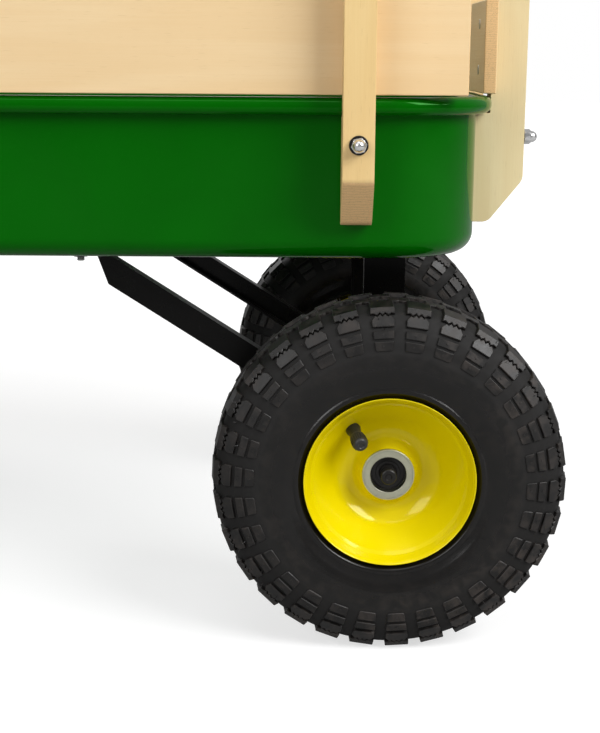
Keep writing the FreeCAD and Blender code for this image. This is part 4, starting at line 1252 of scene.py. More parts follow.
@dataclass
class Tray:
    """Green pressed tray: floor, walls with rounded corners and a rolled bead, all one sheet."""

    sheet: float = 1.5
    corner: float = 70.0
    bend: float = 15.0
    bead: float = 13.0
    bead_round: float = 6.0
    bead_slot: float = 2.5
    corner_steps: int = 28
    level_gap: float = 0.01

    def build(self) -> bpy.types.Object:
        """Sweep the wall's section round the tray, then lay in the floor.

        Returns:
            The tray.
        """
        low, high = lowest_of("tray"), highest_of("tray")
        reach = self.bead - self.sheet
        wall, side = low.x + reach, high.y - reach
        foot, top = low.z, high.z
        bead_foot = top - self.bead
        curl = self.bead_round - self.sheet
        inside = self.bend + self.sheet
        section = [
            (-inside, foot), (0, foot, self.bend), (0, top - self.sheet, curl),
            (reach - self.sheet, top - self.sheet, curl), (reach - self.sheet, bead_foot + self.sheet, curl),
            (self.bead_slot, bead_foot + self.sheet), (self.bead_slot, bead_foot),
            (reach, bead_foot, self.bead_round), (reach, top, self.bead_round),
            (-self.sheet, top, self.bead_round), (-self.sheet, foot + self.sheet, self.bend - self.sheet),
            (-inside, foot + self.sheet),
        ]
        bench = Bench("tray_shell")
        bench.draw(Plane(Vector((wall, 0, 0)), -X, Z), section, closed=False, fineness=10)
        across = side - self.corner
        along = high.x - reach - wall - 2 * self.corner
        rear, front = wall + self.corner, wall + self.corner + along
        bench.raise_by(Y * across)
        for x, y, run in ((rear, across, X * along), (front, across, -Y * across * 2),
                          (front, -across, -X * along), (rear, -across, Y * across)):
            bpy.ops.mesh.spin(steps=self.corner_steps, angle=QUARTER, center=metres(x, y, 0), axis=Z)
            bench.raise_by(run)
        bench.settle()
        for level in (foot, foot + self.sheet):
            bench.pick(Part.EDGES, lambda e: e.is_boundary and all(
                abs(p.co.z * 1000 - level) < self.level_gap for p in e.verts))
            bpy.ops.mesh.edge_face_add()
        bench.settle()
        return polish(bench.done(), 30, GREEN)

    def dress(self) -> None:
        """Build the tray and hang it on the root body."""
        seat(self.build(), "root", "green_paint", "tray")


class Side(Enum):
    """The sides of the rack."""

    LEFT = "left"
    RIGHT = "right"
    FRONT = "front"
    REAR = "rear"


@dataclass
class Rack:
    """One side of the stake rack: stakes, slats, their screws and the bolts through the tray's wall."""

    side: Side
    turn: float
    stakes: int
    seed: int
    width: float = 22.3
    depth: float = 38.5
    upper: float = 26.0
    toe: float = 32.6
    toe_round: float = 8.0
    slat: float = 9.5
    slat_height: float = 68.0
    notch: float = 388.5
    bead_top: float = 402.5
    lip: float = 11.7
    bead_reach: float = 11.5
    sheet: float = 1.5
    end_grain_lean: float = 0.4

    def node(self, kind: str) -> str:
        """Name of this side's node or piece of a kind."""
        return "%s_%s" % (kind, self.side.value)

    def lengthwise(self) -> bool:
        """Whether this side runs along the wagon."""
        return self.side in (Side.LEFT, Side.RIGHT)

    def length_of(self, kind: str) -> float:
        """Length along the wall of this side's CAD node of a kind."""
        low, high = lowest_of(self.node(kind)), highest_of(self.node(kind))
        return high.x - low.x if self.lengthwise() else high.y - low.y

    def frame_of(self) -> Matrix:
        """Matrix from the wall's own frame, whose Y points out of the tray, to the wagon's.

        Returns:
            The matrix, in metres.
        """
        low, high = lowest_of("tray"), highest_of("tray")
        middle = (low + high) / 2
        reach = self.bead_reach
        across, along = {
            Side.LEFT: (middle.x, high.y - reach), Side.RIGHT: (middle.x, low.y + reach),
            Side.FRONT: (high.x - reach, 0.0), Side.REAR: (low.x + reach, 0.0)}[self.side]
        return shift(across, along, 0) @ Matrix.Rotation(math.radians(self.turn), 4, "Z")

    def spots(self) -> list[float]:
        """Place of each stake along the wall, from the CAD stakes' box."""
        span = self.length_of("stakes") - self.width
        return [-span / 2 + span * k / (self.stakes - 1) for k in range(self.stakes)]

    def board(self, name: str, plane: Plane, corners: Sequence[Corner], way: Vector, grain: Grain,
              axis: Vector, tone: float) -> bpy.types.Object:
        """One board with rounded edges and sawn ends.

        Args:
            name: Its name.
            plane: Where its outline is drawn.
            corners: Its outline.
            way: How it is raised.
            grain: Which way its grain runs, in the wagon's frame.
            axis: The grain in the board's own frame.
            tone: How dark the board is, from 0 to 1.

        Returns:
            The board.
        """
        bench = Bench(name)
        bench.block(plane, corners, way, fineness=5)
        piece = bench.done()
        give(piece, BOARDS[grain], ENDS[grain])
        for face in piece.data.polygons:
            face.material_index = 1 if abs(face.normal.dot(axis)) > self.end_grain_lean else 0
        ease(piece, 0.9, 3, 28)
        smooth(piece, 30, flat_faces=True)
        mark_points(piece, "board", lambda place: (tone, 0.0, 0.0))
        return piece

    def build_stakes(self, chance: random.Random) -> bpy.types.Object:
        """All stakes of this side, each with its slant at the foot and its notch over the bead.

        Args:
            chance: Gives each board its tone.

        Returns:
            The timber of this side.
        """
        low, top = lowest_of(self.node("stakes")).z, highest_of(self.node("stakes")).z
        inner = self.depth - self.upper
        shape = [(0, low), (inner, low, self.toe_round), (self.depth, low + self.toe, self.toe_round),
                 (self.depth, top), (inner, top), (inner, self.bead_top), (self.lip, self.bead_top),
                 (self.lip, self.notch), (0, self.notch)]
        boards = []
        for spot in self.spots():
            plane = Plane(Vector((spot - self.width / 2, 0, 0)), Y, Z)
            tone = chance.random()
            boards.append(self.board("stake", plane, shape, X * self.width, Grain.UPRIGHT, Z, tone))
        return put(join(self.node("stakes") + "_timber", boards), self.frame_of())

    def build_slats(self, chance: random.Random) -> bpy.types.Object:
        """All slats of this side.

        Args:
            chance: Gives each board its tone.

        Returns:
            The timber of this side.
        """
        low, high = lowest_of(self.node("slats")).z, highest_of(self.node("slats")).z
        length = self.length_of("slats")
        grain = Grain.LENGTHWISE if self.lengthwise() else Grain.CROSSWISE
        outer = self.depth - self.upper
        inner = outer - self.slat
        boards = []
        for foot in (low, high - self.slat_height):
            plane = Plane(Vector((-length / 2, 0, 0)), Y, Z)
            top = foot + self.slat_height
            shape = [(inner, foot), (outer, foot), (outer, top), (inner, top)]
            tone = chance.uniform(0.3, 0.7)
            boards.append(self.board("slat", plane, shape, X * length, grain, X, tone))
        return put(join(self.node("slats") + "_timber", boards), self.frame_of())

    def build_hardware(self, fasteners: Fasteners) -> list[bpy.types.Object]:
        """Cap nuts outside, round heads inside and the slats' screws.

        Args:
            fasteners: Gives the patterns.

        Returns:
            The bolts, and the screws.
        """
        height = middle_of(self.node("rack_bolts")).z
        low, high = lowest_of(self.node("slats")).z, highest_of(self.node("slats")).z
        inner = self.depth - self.upper
        bolts, screws = [], []
        for index, spot in enumerate(self.spots()):
            outside = Vector((spot, self.depth, height))
            bolts.append(fasteners.stand(Kind.CAP_NUT, outside, Y, 11 + 17 * index))
            bolts.append(fasteners.stand(Kind.HEAD, Vector((spot, -self.sheet, height)), -Y))
            for foot in (low, high - self.slat_height):
                for rise in (0.25, 0.75):
                    place = Vector((spot, inner - self.slat, foot + self.slat_height * rise))
                    screws.append(fasteners.stand(Kind.SCREW, place, -Y, 23 * index + 60 * rise))
        place = self.frame_of()
        return [put(join(self.node("rack_bolts") + "_set", bolts), place),
                put(join(self.node("slat_screws"), screws), place)]

    def dress(self, fasteners: Fasteners) -> None:
        """Build this side and hang it on the root body.

        Args:
            fasteners: Gives the bolts and screws.
        """
        chance = random.Random(self.seed)
        seat(self.build_stakes(chance), "root", "wood", self.node("stakes"))
        seat(self.build_slats(chance), "root", "wood", self.node("slats"))
        bolts, screws = self.build_hardware(fasteners)
        seat(bolts, "root", "cap_nut_chrome", self.node("rack_bolts"))
        seat(screws, "root", "zinc")


@dataclass
class Undercarriage:
    """Brackets, braces, pivot plate, turntable, tongue arms and the bolts that hold them."""

    sheet: float = 1.5
    plate: float = 3.0
    channel: float = 2.5
    head_radius: float = 7.0
    nut_reach: float = 6.0
    big_nut_reach: float = 13.0
    weld_radius: float = 1.7
    weld_edge: float = 15.6
    weld_rise: float = 12.7
    leg_start: float = 131.0
    leg_end: float = 141.0

    def weld(self, name: str, start: Vector, end: Vector) -> bpy.types.Object:
        """Rippled bead of weld from one point to another.

        Args:
            name: Its name.
            start: One end, in millimetres.
            end: The other end.

        Returns:
            The bead.
        """
        length = (end - start).length
        ripples = max(4, int(length / 2.2))
        profile: list[Corner] = [(0.0, 0.0)]
        for ripple in range(ripples):
            share = (ripple + 0.5) / ripples
            swell = self.weld_radius * (1.0 - 0.25 * abs(2 * share - 1) ** 6)
            profile += [(length * (ripple + 0.15) / ripples, swell * 0.86), (length * share, swell)]
        profile.append((length, 0.0))
        return put(polish(lathe(name, ROUND_Z, profile, 10), 60, BLACK), pointing(start, end - start))

    def foot_beads(self, bracket: str, side: int) -> list[bpy.types.Object]:
        """Beads along both edges of a bracket's leg, where it meets its plate.

        Args:
            bracket: The bracket's CAD node.
            side: 1 on the left of the wagon, -1 on the right.

        Returns:
            The beads.
        """
        x, height = middle_of(bracket).x, highest_of(bracket).z - self.plate - 0.4
        return [self.weld("bead", Vector((x + edge, side * self.leg_start, height)),
                          Vector((x + edge, side * self.leg_end, height)))
                for edge in (-self.weld_edge, self.weld_edge)]

    def bolts(self, fasteners: Fasteners, node: str, places: Sequence[Vector], under: float) -> None:
        """Frame bolts: round heads on the tray's floor, nuts and threaded ends below.

        Args:
            fasteners: Gives the patterns.
            node: The CAD node of these bolts.
            places: Each bolt's place, with the floor's top as its height.
            under: Height of the face that the nuts bear on.
        """
        pieces = []
        for index, place in enumerate(places):
            nut = Vector((place.x, place.y, under))
            pieces.append(fasteners.stand(Kind.HEAD, place, Z))
            pieces.append(fasteners.stand(Kind.NUT, nut, -Z, 14 + 25 * index))
            pieces.append(fasteners.stand(Kind.TAIL, Vector((place.x, place.y, under - self.nut_reach)), -Z))
        seat(join(node + "_set", pieces), "root", "zinc", node)

    def dress(self, fasteners: Fasteners) -> None:
        """Build all of it and hang each piece on its own body.

        Args:
            fasteners: Gives the bolts.
        """
        for body, node, name, width in (
                ("root", "rear_axle_bracket", "rear_bracket", 0.5),
                ("root", "rear_brace_left", "rear_brace_left", 0.5),
                ("root", "rear_brace_right", "rear_brace_right", 0.5),
                ("root", "front_pivot_plate", "front_pivot_plate", 0.5),
                ("steering", "turntable", "turntable", 0.5),
                ("steering", "front_axle_bracket", "front_bracket", 0.5),
                ("steering", "tongue_arm_left", "tongue_arm_left", 0.7),
                ("steering", "tongue_arm_right", "tongue_arm_right", 0.7)):
            steel = fair_copy(node, name + "_steel", width)
            seat(polish(steel, 35, BLACK, flat_faces=True), body, "black_paint", node)
        floor = lowest_of("tray").z
        top = floor + self.sheet
        edge = self.head_radius
        for node, grip, rows in (("bracket_bolts", self.plate, 1), ("brace_bolts", self.channel, 1),
                                 ("pivot_bolts", self.plate, 2)):
            low, high = lowest_of(node), highest_of(node)
            across = (middle_of(node).x,) if rows == 1 else (low.x + edge, high.x - edge)
            places = [Vector((x, y, top)) for x in across for y in (low.y + edge, high.y - edge)]
            self.bolts(fasteners, node, places, floor - grip)
        self.dress_kingpin(fasteners, top)
        self.dress_pin()
        self.dress_welds()

    def dress_kingpin(self, fasteners: Fasteners, top: float) -> None:
        """Kingpin with its head on the tray's floor and its nut under the front bracket.

        Args:
            fasteners: Gives the head, the nut and the threaded end.
            top: Height of the floor's top.
        """
        x, low = middle_of("kingpin").x, lowest_of("kingpin").z
        pieces = [fasteners.stand(Kind.BIG_HEAD, Vector((x, 0, top)), Z),
                  fasteners.stand(Kind.BIG_NUT, Vector((x, 0, low + self.big_nut_reach)), -Z, 8),
                  fasteners.stand(Kind.BIG_TAIL, Vector((x, 0, low + fasteners.tail)), -Z)]
        foot = low + self.big_nut_reach - 1
        profile = [(foot, 0), (foot, 6), (top, 6), (top, 0)]
        shank = polish(lathe("kingpin_shank", Plane(Vector((x, 0, 0)), Z, X), profile, 32), 40, ZINC)
        seat(join("kingpin_set", [*pieces, shank]), "root", "zinc", "kingpin")

    def dress_pin(self) -> None:
        """Tongue pin with a chamfered head at each end."""
        low, high = lowest_of("tongue_pin"), highest_of("tongue_pin")
        middle = (low + high) / 2
        reach = high.y - middle.y
        profile = [(-reach, 0), (-reach, 9, 1.2), (-reach + 5, 9, 0.6), (-reach + 5, 5), (reach - 5, 5),
                   (reach - 5, 9, 0.6), (reach, 9, 1.2), (reach, 3.4), (reach - 1, 2.6), (reach - 1, 0)]
        pin = polish(lathe("tongue_pin_steel", Plane(middle, Y, X), profile, 40), 35, ZINC)
        seat(pin, "steering", "zinc", "tongue_pin")

    def dress_welds(self) -> None:
        """Weld beads where legs meet their plates and the tongue arms meet the front legs."""
        brace = lowest_of("rear_brace_left")
        front, arm = middle_of("front_axle_bracket").x + 16.2, middle_of("tongue_arm_left").z
        rear_beads, front_beads = [], []
        for side in (1, -1):
            rear_beads += self.foot_beads("rear_axle_bracket", side)
            rear_beads.append(self.weld("bead", Vector((brace.x + 0.3, side * 142.2, brace.z + 3)),
                                        Vector((brace.x + 0.3, side * 142.2, brace.z + 24))))
        seat(join("rear_weld_beads", rear_beads), "root", "black_paint")
        for side in (1, -1):
            front_beads += self.foot_beads("front_axle_bracket", side)
            for rise in (-self.weld_rise, self.weld_rise):
                front_beads.append(self.weld("bead", Vector((front, side * self.leg_start, arm + rise)),
                                             Vector((front, side * 142, arm + rise))))
        seat(join("front_weld_beads", front_beads), "steering", "black_paint")


@dataclass
class Axle:
    """Axle rod with its spacers and black rounded ends."""

    node: str
    body: str
    radius: float = 6.35
    spacer: float = 9.5
    leg: float = 143.0
    spacer_end: float = 189.5
    tip: float = 6.0
    step: float = 238.5

    def dress(self) -> None:
        """Turn the rod and hang it on its body."""
        middle = middle_of(self.node)
        end = highest_of(self.node).y
        half = [(self.leg, self.radius), (self.leg, self.spacer, 0.5), (self.spacer_end, self.spacer, 0.5),
                (self.spacer_end, self.radius), (self.step, self.radius, 0.3),
                (self.step + 0.5, self.tip, 0.3), (end, self.tip, 1.8)]
        profile = [*half, (end, 2.6), (end - 0.7, 2.0), (end - 0.7, 0.0)]
        rod = lathe(self.node + "_rod", Plane(middle, Y, X), [*mirrored(profile), *profile], 48)
        seat(polish(rod, 35, DARK_STEEL), self.body, "zinc", self.node)


@dataclass
class Wheel:
    """Air-filled tyre on a dished rim, modelled once in its own frame and copied to four corners.

    In that frame Y is the axle, pointing out of the wagon, and the valve stands at the top.
    """

    pitches: int = 30
    first_lug: float = 1.5
    valve_turn: float = 38.0
    stagger: float = 6.0
    hairs: int = 60
    widest: float = 44.2
    lug_chamfer: float = 0.42
    floor_clear: float = -0.86
    end_clear: float = 0.97
    hub_inset: float = 6.0
    hair_spots: tuple[Corner, ...] = ((37.5, 119.5, 42), (33.5, 125.6, 52), (41.0, 113.5, 34))
    casing: tuple[Corner, ...] = (
        (33, 60.7), (34.4, 63.4, 1.5), (36.8, 64.9, 1.5), (38.9, 66.4, 1.0), (39.4, 68.8, 0.7),
        (38.6, 70.2, 0.5), (41.4, 76, 14), (43.2, 84, 20), (43.4, 95, 20), (42.3, 105, 16), (39.9, 112.5, 14),
        (36.5, 118.9, 14), (31.8, 123.8, 10), (25, 126.6, 10), (12, 127.3, 20))
    lining: tuple[Corner, ...] = ((28, 58.4), (25, 62), (31, 78), (35, 92), (33, 106), (27, 115), (12, 118.5))

    def tyre_shell(self) -> bpy.types.Object:
        """The casing, one closed band turned round the axle."""
        profile = [*self.casing, *mirrored(self.casing), *reversed(mirrored(self.lining)),
                   *reversed(self.lining)]
        return give(lathe("tyre_casing", ROUND_Y, profile, 120, closed=True, fineness=5), CASING)

    def lug_plane(self, half: float, radius: float, lean: float, sunk: float) -> tuple[Plane, Vector]:
        """Plane under a lug's top face.

        Args:
            half: The face's middle, out from the wheel's middle.
            radius: The face's middle, out from the axle.
            lean: How far the face leans out from the axle's direction, in degrees.
            sunk: Depth of the plane below the face.

        Returns:
            The plane, and the way from it up to the face.
        """
        angle = math.radians(lean)
        way = Vector((0, math.cos(angle), math.sin(angle))) * sunk
        up = Vector((0, -math.sin(angle), math.cos(angle)))
        return Plane(Vector((0, half, radius)) - way, X, up), way

    def lug(self, bench: Bench, place: Corner, corners: Sequence[Corner], taper: float = 0.97) -> None:
        """Raise one lug, whose top edges are chamfered.

        Args:
            bench: Where the lug is made.
            place: Its top face's middle, out from the wheel's middle and out from the axle, the face's lean,
                and how deep the lug reaches.
            corners: Its outline.
            taper: Size of its top beside its foot.
        """
        plane, way = self.lug_plane(*place)
        # The chamfers take the lighter edge rubber: a painted highlight along the top edges, partly edge
        # wear.
        bench.block(plane, corners, way, taper, 3, self.lug_chamfer)

    def side_lugs(self) -> bpy.types.Object:
        """One pitch of lugs on the outer side, and then all of them round the wheel.

        Returns:
            The lugs.
        """
        bench = Bench("side_lugs")
        give(bench.piece, TYRE, TYRE_EDGE)
        self.lug(bench, (43.7, 101.4, 3, 3.2), [
            (-6.3, -3.5, 1.6), (6.3, -3.5, 1.6), (6.9, 3.5, 0.5), (-6.9, 3.5, 0.5)])
        self.lug(bench, (42.5, 109.6, 15, 4.2), [
            (-7.3, -2.9, 0.5), (7.3, -2.9, 0.5), (7.7, 2.9, 0.5), (-7.7, 2.9, 0.5)])
        self.lug(bench, (38.4, 119.2, 31, 5.2), [
            (-7.9, -4.8, 0.5), (7.9, -4.8, 0.5), (8.4, 0.4, 1.6), (5.6, 4.2, 0.8), (3.9, 3.1), (1.9, 5.2),
            (0.1, 3.2), (-1.8, 5.2), (-3.9, 3.1), (-5.6, 4.2, 0.8), (-8.4, 0.4, 1.6)])
        self.lug(bench, (33.9, 125.2, 38, 5.0), [
            (-8.9, -2.0), (-6.2, -1.6, 0.4), (-4.2, -3.0), (-1.9, -0.9), (0.1, -2.9), (2.0, -0.9),
            (4.2, -3.0), (6.2, -1.6, 0.4), (8.9, -2.0), (8.9, 3.4, 0.6), (-8.9, 3.4, 0.6)], 0.98)
        self.lug(bench, (23.0, 128.5, 82, 4.5), [
            (-8.9, -9.5, 1.0), (8.9, -9.5, 1.0), (8.9, 8.2, 0.8), (-8.9, 8.2, 0.8)])
        bpy.ops.mesh.reveal()
        bench.repeat_round(self.pitches, Y)
        return bench.done()

    def side_pips(self) -> bpy.types.Object:
        """Small moulded pips on the side lugs.

        Returns:
            The pips.
        """
        bench = Bench("side_pips")
        for across, half, radius, lean in ((0.6, 43.7, 101.6, 3), (0.4, 42.5, 109.8, 15),
                                           (-4.9, 38.4, 118.6, 31), (4.9, 38.4, 118.6, 31)):
            plane, way = self.lug_plane(half, radius, lean, 0.3)
            base = Plane(plane.origin + X * across, way.normalized(), X)
            bench.turn(base, [(0, 0), (0, 0.95), (0.55, 0.78), (0.6, 0.35), (0.35, 0)], 8, closed=False)
        bpy.ops.mesh.reveal()
        bench.repeat_round(self.pitches, Y)
        return give(bench.done(), TYRE_EDGE, TYRE_EDGE)

    def centre_lugs(self) -> bpy.types.Object:
        """Rows of blocks on the crown of the tread, set half a pitch from the side ones.

        Returns:
            The blocks.
        """
        bench = Bench("centre_lugs")
        give(bench.piece, TYRE, TYRE_EDGE)
        for half, lean, turn in ((8.2, 88, self.stagger), (-8.2, 92, 0.0)):
            self.lug(bench, (half, 129.3, lean, 4.2), [
                (-8.0, -6.4, 1.0), (-2.2, -6.4), (0, -4.6), (2.2, -6.4), (8.0, -6.4, 1.0), (8.0, 6.0, 1.0),
                (2.2, 6.0), (0, 4.2), (-2.2, 6.0), (-8.0, 6.0, 1.0)])
            bench.pick(Part.POINTS, lambda p: True)
            bpy.ops.transform.rotate(value=math.radians(turn), orient_axis="Y", center_override=(0, 0, 0))
        bpy.ops.mesh.reveal()
        bench.repeat_round(self.pitches, Y)
        return bench.done()

    def mould_hairs(self) -> bpy.types.Object:
        """Thin rubber hairs left by the mould's vents, kept off the floor and the rearmost tread.

        Returns:
            The hairs.
        """
        chance = random.Random(43)
        bench = Bench("mould_hairs")
        made = 0
        turned = math.radians(self.valve_turn + self.first_lug)
        while made < self.hairs:
            turn = math.radians(chance.uniform(0, 360))
            ways = (turned + turn, turned - turn)
            if any(math.cos(way) < self.floor_clear or abs(math.sin(way)) > self.end_clear for way in ways):
                continue
            side = chance.choice((-1, 1))
            half, radius, lean = chance.choice(self.hair_spots)
            outward = math.radians(lean) + chance.uniform(-0.5, 0.5)
            spot = Vector((math.sin(turn) * radius, side * half, math.cos(turn) * radius))
            way = Vector((math.sin(turn + 0.2), 0, math.cos(turn + 0.2))) * math.sin(outward)
            way += Y * side * math.cos(outward)
            room = (self.widest - half - 0.4) / max(math.cos(outward), 0.1)
            length = min(chance.uniform(1.8, 3.8), room)
            plane = Plane(spot, way.normalized(), way.orthogonal().normalized())
            bench.turn(plane, [(-0.6, 0), (-0.6, 0.34), (length * 0.5, 0.22), (length, 0.12), (length, 0)], 6,
                       closed=False)
            made += 1
        return give(bench.done(), TYRE, TYRE_EDGE)

    def build_tyre(self) -> bpy.types.Object:
        """Casing, lugs on both sides, crown blocks, pips and hairs, joined.

        Returns:
            The pattern.
        """
        outer = join("outer_tread", [self.side_lugs(), self.side_pips()])
        inner = copy_of(outer, "inner_tread")
        put(inner, Matrix.Rotation(math.radians(self.stagger), 4, "Y") @ Matrix.Rotation(math.pi, 4, "Z"))
        tread = join("tread", [outer, inner, self.centre_lugs()])
        tyre = join("tyre_pattern", [self.tyre_shell(), tread, self.mould_hairs()])
        smooth(tyre, 34)
        mark_points(tyre, "wheel", lambda place: place)
        return tyre

    def build_rim(self) -> bpy.types.Object:
        """Pressed rim, its corners rounded as sheet is.

        Returns:
            The pattern.
        """
        under = [(40, 62.5, 0.7), (38.2, 62.5, 0.7), (33, 60.5, 2), (28, 58, 1.5), (20, 50.8, 3), (7, 43, 3)]
        face = [(36.5, 60.0, 2.2), (31, 57.5, 1.6), (28.7, 55.2, 2.2), (8, 40, 14), (3, 30, 8), (5, 24, 5),
                (12, 20.9, 4), (15.6, 19.3)]
        profile = [*under, *mirrored(under), *reversed(mirrored(face)), *reversed(face)]
        rim = polish(lathe("rim_pattern", ROUND_Y, profile, 128, closed=True, fineness=7), 40, YELLOW)
        mark_points(rim, "wheel", lambda place: place)
        return rim

    def build_hub(self) -> bpy.types.Object:
        """Hub tube with a fine groove in its end face, and a sealed bearing in each end.

        Returns:
            The pattern.
        """
        tube = lathe("hub_tube", ROUND_Y, [
            (-30, 13.2, 0.3), (-30, 19.3, 0.7), (18, 19.3, 0.5), (18, 18.1), (17.75, 17.95), (17.75, 17.75),
            (18, 17.6), (18, 13.2, 0.5), (12.6, 13.2), (12.6, 12.0), (-24.6, 12.0), (-24.6, 13.2)], 96,
            closed=True, fineness=4)
        parts = [give(tube, HUB_ZINC, DARK_STEEL)]
        seal = [(-0.6, 6.45), (-0.6, 13.1), (1.1, 13.1, 0.4), (1.1, 11.9, 0.3), (0.5, 11.6), (0.35, 9.2),
                (0.9, 8.9, 0.2), (1.0, 6.45, 0.3)]
        for start, way in ((12.2, 1), (-24.2, -1)):
            ring = lathe("bearing", Plane(Y * start, Y * way, Z), seal, 64, closed=True, fineness=4)
            parts.append(give(ring, DARK_STEEL))
        hub = join("hub_pattern", parts)
        smooth(hub, 35)
        mark_points(hub, "wheel", lambda place: place)
        return hub

    def build_valve(self) -> bpy.types.Object:
        """Rubber valve with a flared foot, a ribbed cap and a neck between them.

        Returns:
            The pattern.
        """
        stem = lathe("valve_stem", ROUND_Z, [
            (0, 0), (0, 4.5), (8.6, 4.5), (9.4, 5.7, 0.6), (11.4, 5.3, 1.0), (14.0, 4.6, 2.5),
            (19.6, 4.1, 0.4), (20.6, 3.6), (20.6, 0)], 36)
        cap = lathe("valve_cap", ROUND_Z, [
            (20.0, 0), (20.0, 5.3, 0.4), (22.2, 5.7, 0.6), (23.0, 5.5), (29.8, 5.5, 0.5), (32.0, 4.7, 1.6),
            (32.0, 2.4), (31.5, 2.0), (31.5, 0)], 40)
        ribs = Bench("valve_ribs")
        rib = [(-0.26, 0), (0.26, 0), (0.2, 6.2), (-0.2, 6.2)]
        ribs.block(Plane(Vector((5.2, 0, 23.4)), Y, Z), rib, X * 0.75)
        ribs.repeat_round(20, Z)
        pieces = [stem, cap, ribs.done()]
        for piece in pieces:
            give(piece, VALVE)
        valve = join("valve_pattern", pieces)
        smooth(valve, 35)
        lean = math.radians(22)
        put(valve, pointing(Vector((0, 6, 46)), Vector((0, math.cos(lean), -math.sin(lean)))))
        return valve

    def dress(self) -> None:
        """Model one wheel and copy it to the four corners."""
        patterns = {"tyre": (self.build_tyre(), "tyre"), "rim": (self.build_rim(), "yellow_paint"),
                    "hub": (self.build_hub(), "hub_zinc"), "valve": (self.build_valve(), "valve_rubber")}
        for kind, (pattern, slot) in patterns.items():
            turn = math.radians(self.valve_turn + (self.first_lug if kind == "tyre" else 0))
            half = Vector((math.sin(turn / 2), 0, math.cos(turn / 2)))
            for end in ("rear", "front"):
                for side, inset, turned in (("left", self.hub_inset, Matrix.Rotation(turn, 4, "Y")),
                                            ("right", -self.hub_inset, Matrix.Rotation(math.pi, 4, half))):
                    corner = "%s_%s" % (end, side)
                    hub = middle_of("hub_" + corner) / 1000 + Y * (inset / 1000)
                    piece = copy_of(pattern, "%s_%s_piece" % (kind, corner))
                    put(piece, Matrix.Translation(hub) @ turned)
                    seat(piece, "wheel_" + corner, slot, "%s_%s" % (kind, corner))
        for pattern, _ in patterns.values():
            put_away(pattern)


@dataclass
class Handle:
    """Pull handle: yoke, tube shaft, bent hand loop and grip sleeve, in its own frame along +X."""

    length: float = 760.0
    yoke_length: float = 55.0
    loop_depth: float = 105.0
    loop_root: float = 52.0
    loop_width: float = 132.0
    bar: float = 7.0
    shaft: float = 11.0
    grip_radius: float = 13.0
    grip_length: float = 84.0

    def place(self) -> Matrix:
        """Matrix from the handle's own frame to the wagon's.

        Returns:
            The matrix, in metres.
        """
        pin = middle_of("tongue_pin")
        drop = math.asin((pin.z - self.grip_radius) / self.length)
        return Matrix.Translation(pin / 1000) @ Matrix.Rotation(drop, 4, "Y")

    def build_shaft(self) -> bpy.types.Object:
        """Tube from the yoke to the loop.

        Returns:
            The tube.
        """
        root = self.length - self.loop_depth
        near = self.yoke_length + 0.3
        return lathe("handle_tube", Plane(Vector(), X, Z), [
            (near, 8.0), (near, self.shaft, 0.8), (root - 7, self.shaft, 2.0), (root - 1, 7.4), (root - 1, 0),
            (root - 3, 0), (root - 3, 6.8), (root - 8, 8.0)], 48, closed=True)

    def build_loop(self) -> bpy.types.Object:
        """Round bar bent to a hand loop.

        Returns:
            The bar.
        """
        root = self.length - self.loop_depth
        bench = Bench("handle_bar")
        half, wide = self.loop_root / 2, self.loop_width / 2
        bench.draw(Plane(Vector(), X, Y), [(root, 0), (root, half, 14), (self.length, wide, 14),
                                           (self.length, -wide, 14), (root, -half, 14)], fineness=12)
        bar = bench.done()
        take_up(bar)
        bpy.ops.object.convert(target="CURVE")
        bar = bpy.context.object
        bar.data.bevel_depth = self.bar / 1000
        bar.data.bevel_resolution = 6
        bpy.ops.object.convert(target="MESH")
        return bpy.context.object

    def build_grip(self) -> bpy.types.Object:
        """Ribbed sleeve with a collar at each end.

        Returns:
            The sleeve.
        """
        half = self.grip_length / 2
        profile: list[Corner] = [(-half, 7.2), (-half, 12.6, 1.6), (-half + 4, 13.0, 1.0), (-half + 5, 11.8)]
        ribs = 12
        pitch = (self.grip_length - 12) / ribs
        for rib in range(ribs):
            start = -half + 6 + rib * pitch
            profile += [(start + pitch * 0.12, 11.8), (start + pitch * 0.3, 12.8, 0.5),
                        (start + pitch * 0.7, 12.8, 0.5), (start + pitch * 0.88, 11.8)]
        profile += [(half - 5, 11.8), (half - 4, 13.0, 1.0), (half, 12.6, 1.6), (half, 7.2)]
        sleeve = Plane(Vector((self.length, 0, 0)), Y, Z)
        return lathe("handle_sleeve", sleeve, profile, 48, closed=True, fineness=4)

    def dress(self) -> None:
        """Build the handle and hang it on its body."""
        yoke = fair_copy("handle_yoke", "handle_yoke_steel", 0.8)
        seat(polish(yoke, 35, BLACK, flat_faces=True), "handle", "black_paint", "handle_yoke")
        for piece, finish, slot, node in (
                (self.build_shaft(), BLACK, "black_paint", "handle_shaft"),
                (self.build_loop(), BLACK, "black_paint", "handle_loop"),
                (self.build_grip(), GRIP, "grip_rubber", "handle_grip")):
            seat(put(polish(piece, 40, finish), self.place()), "handle", slot, node)


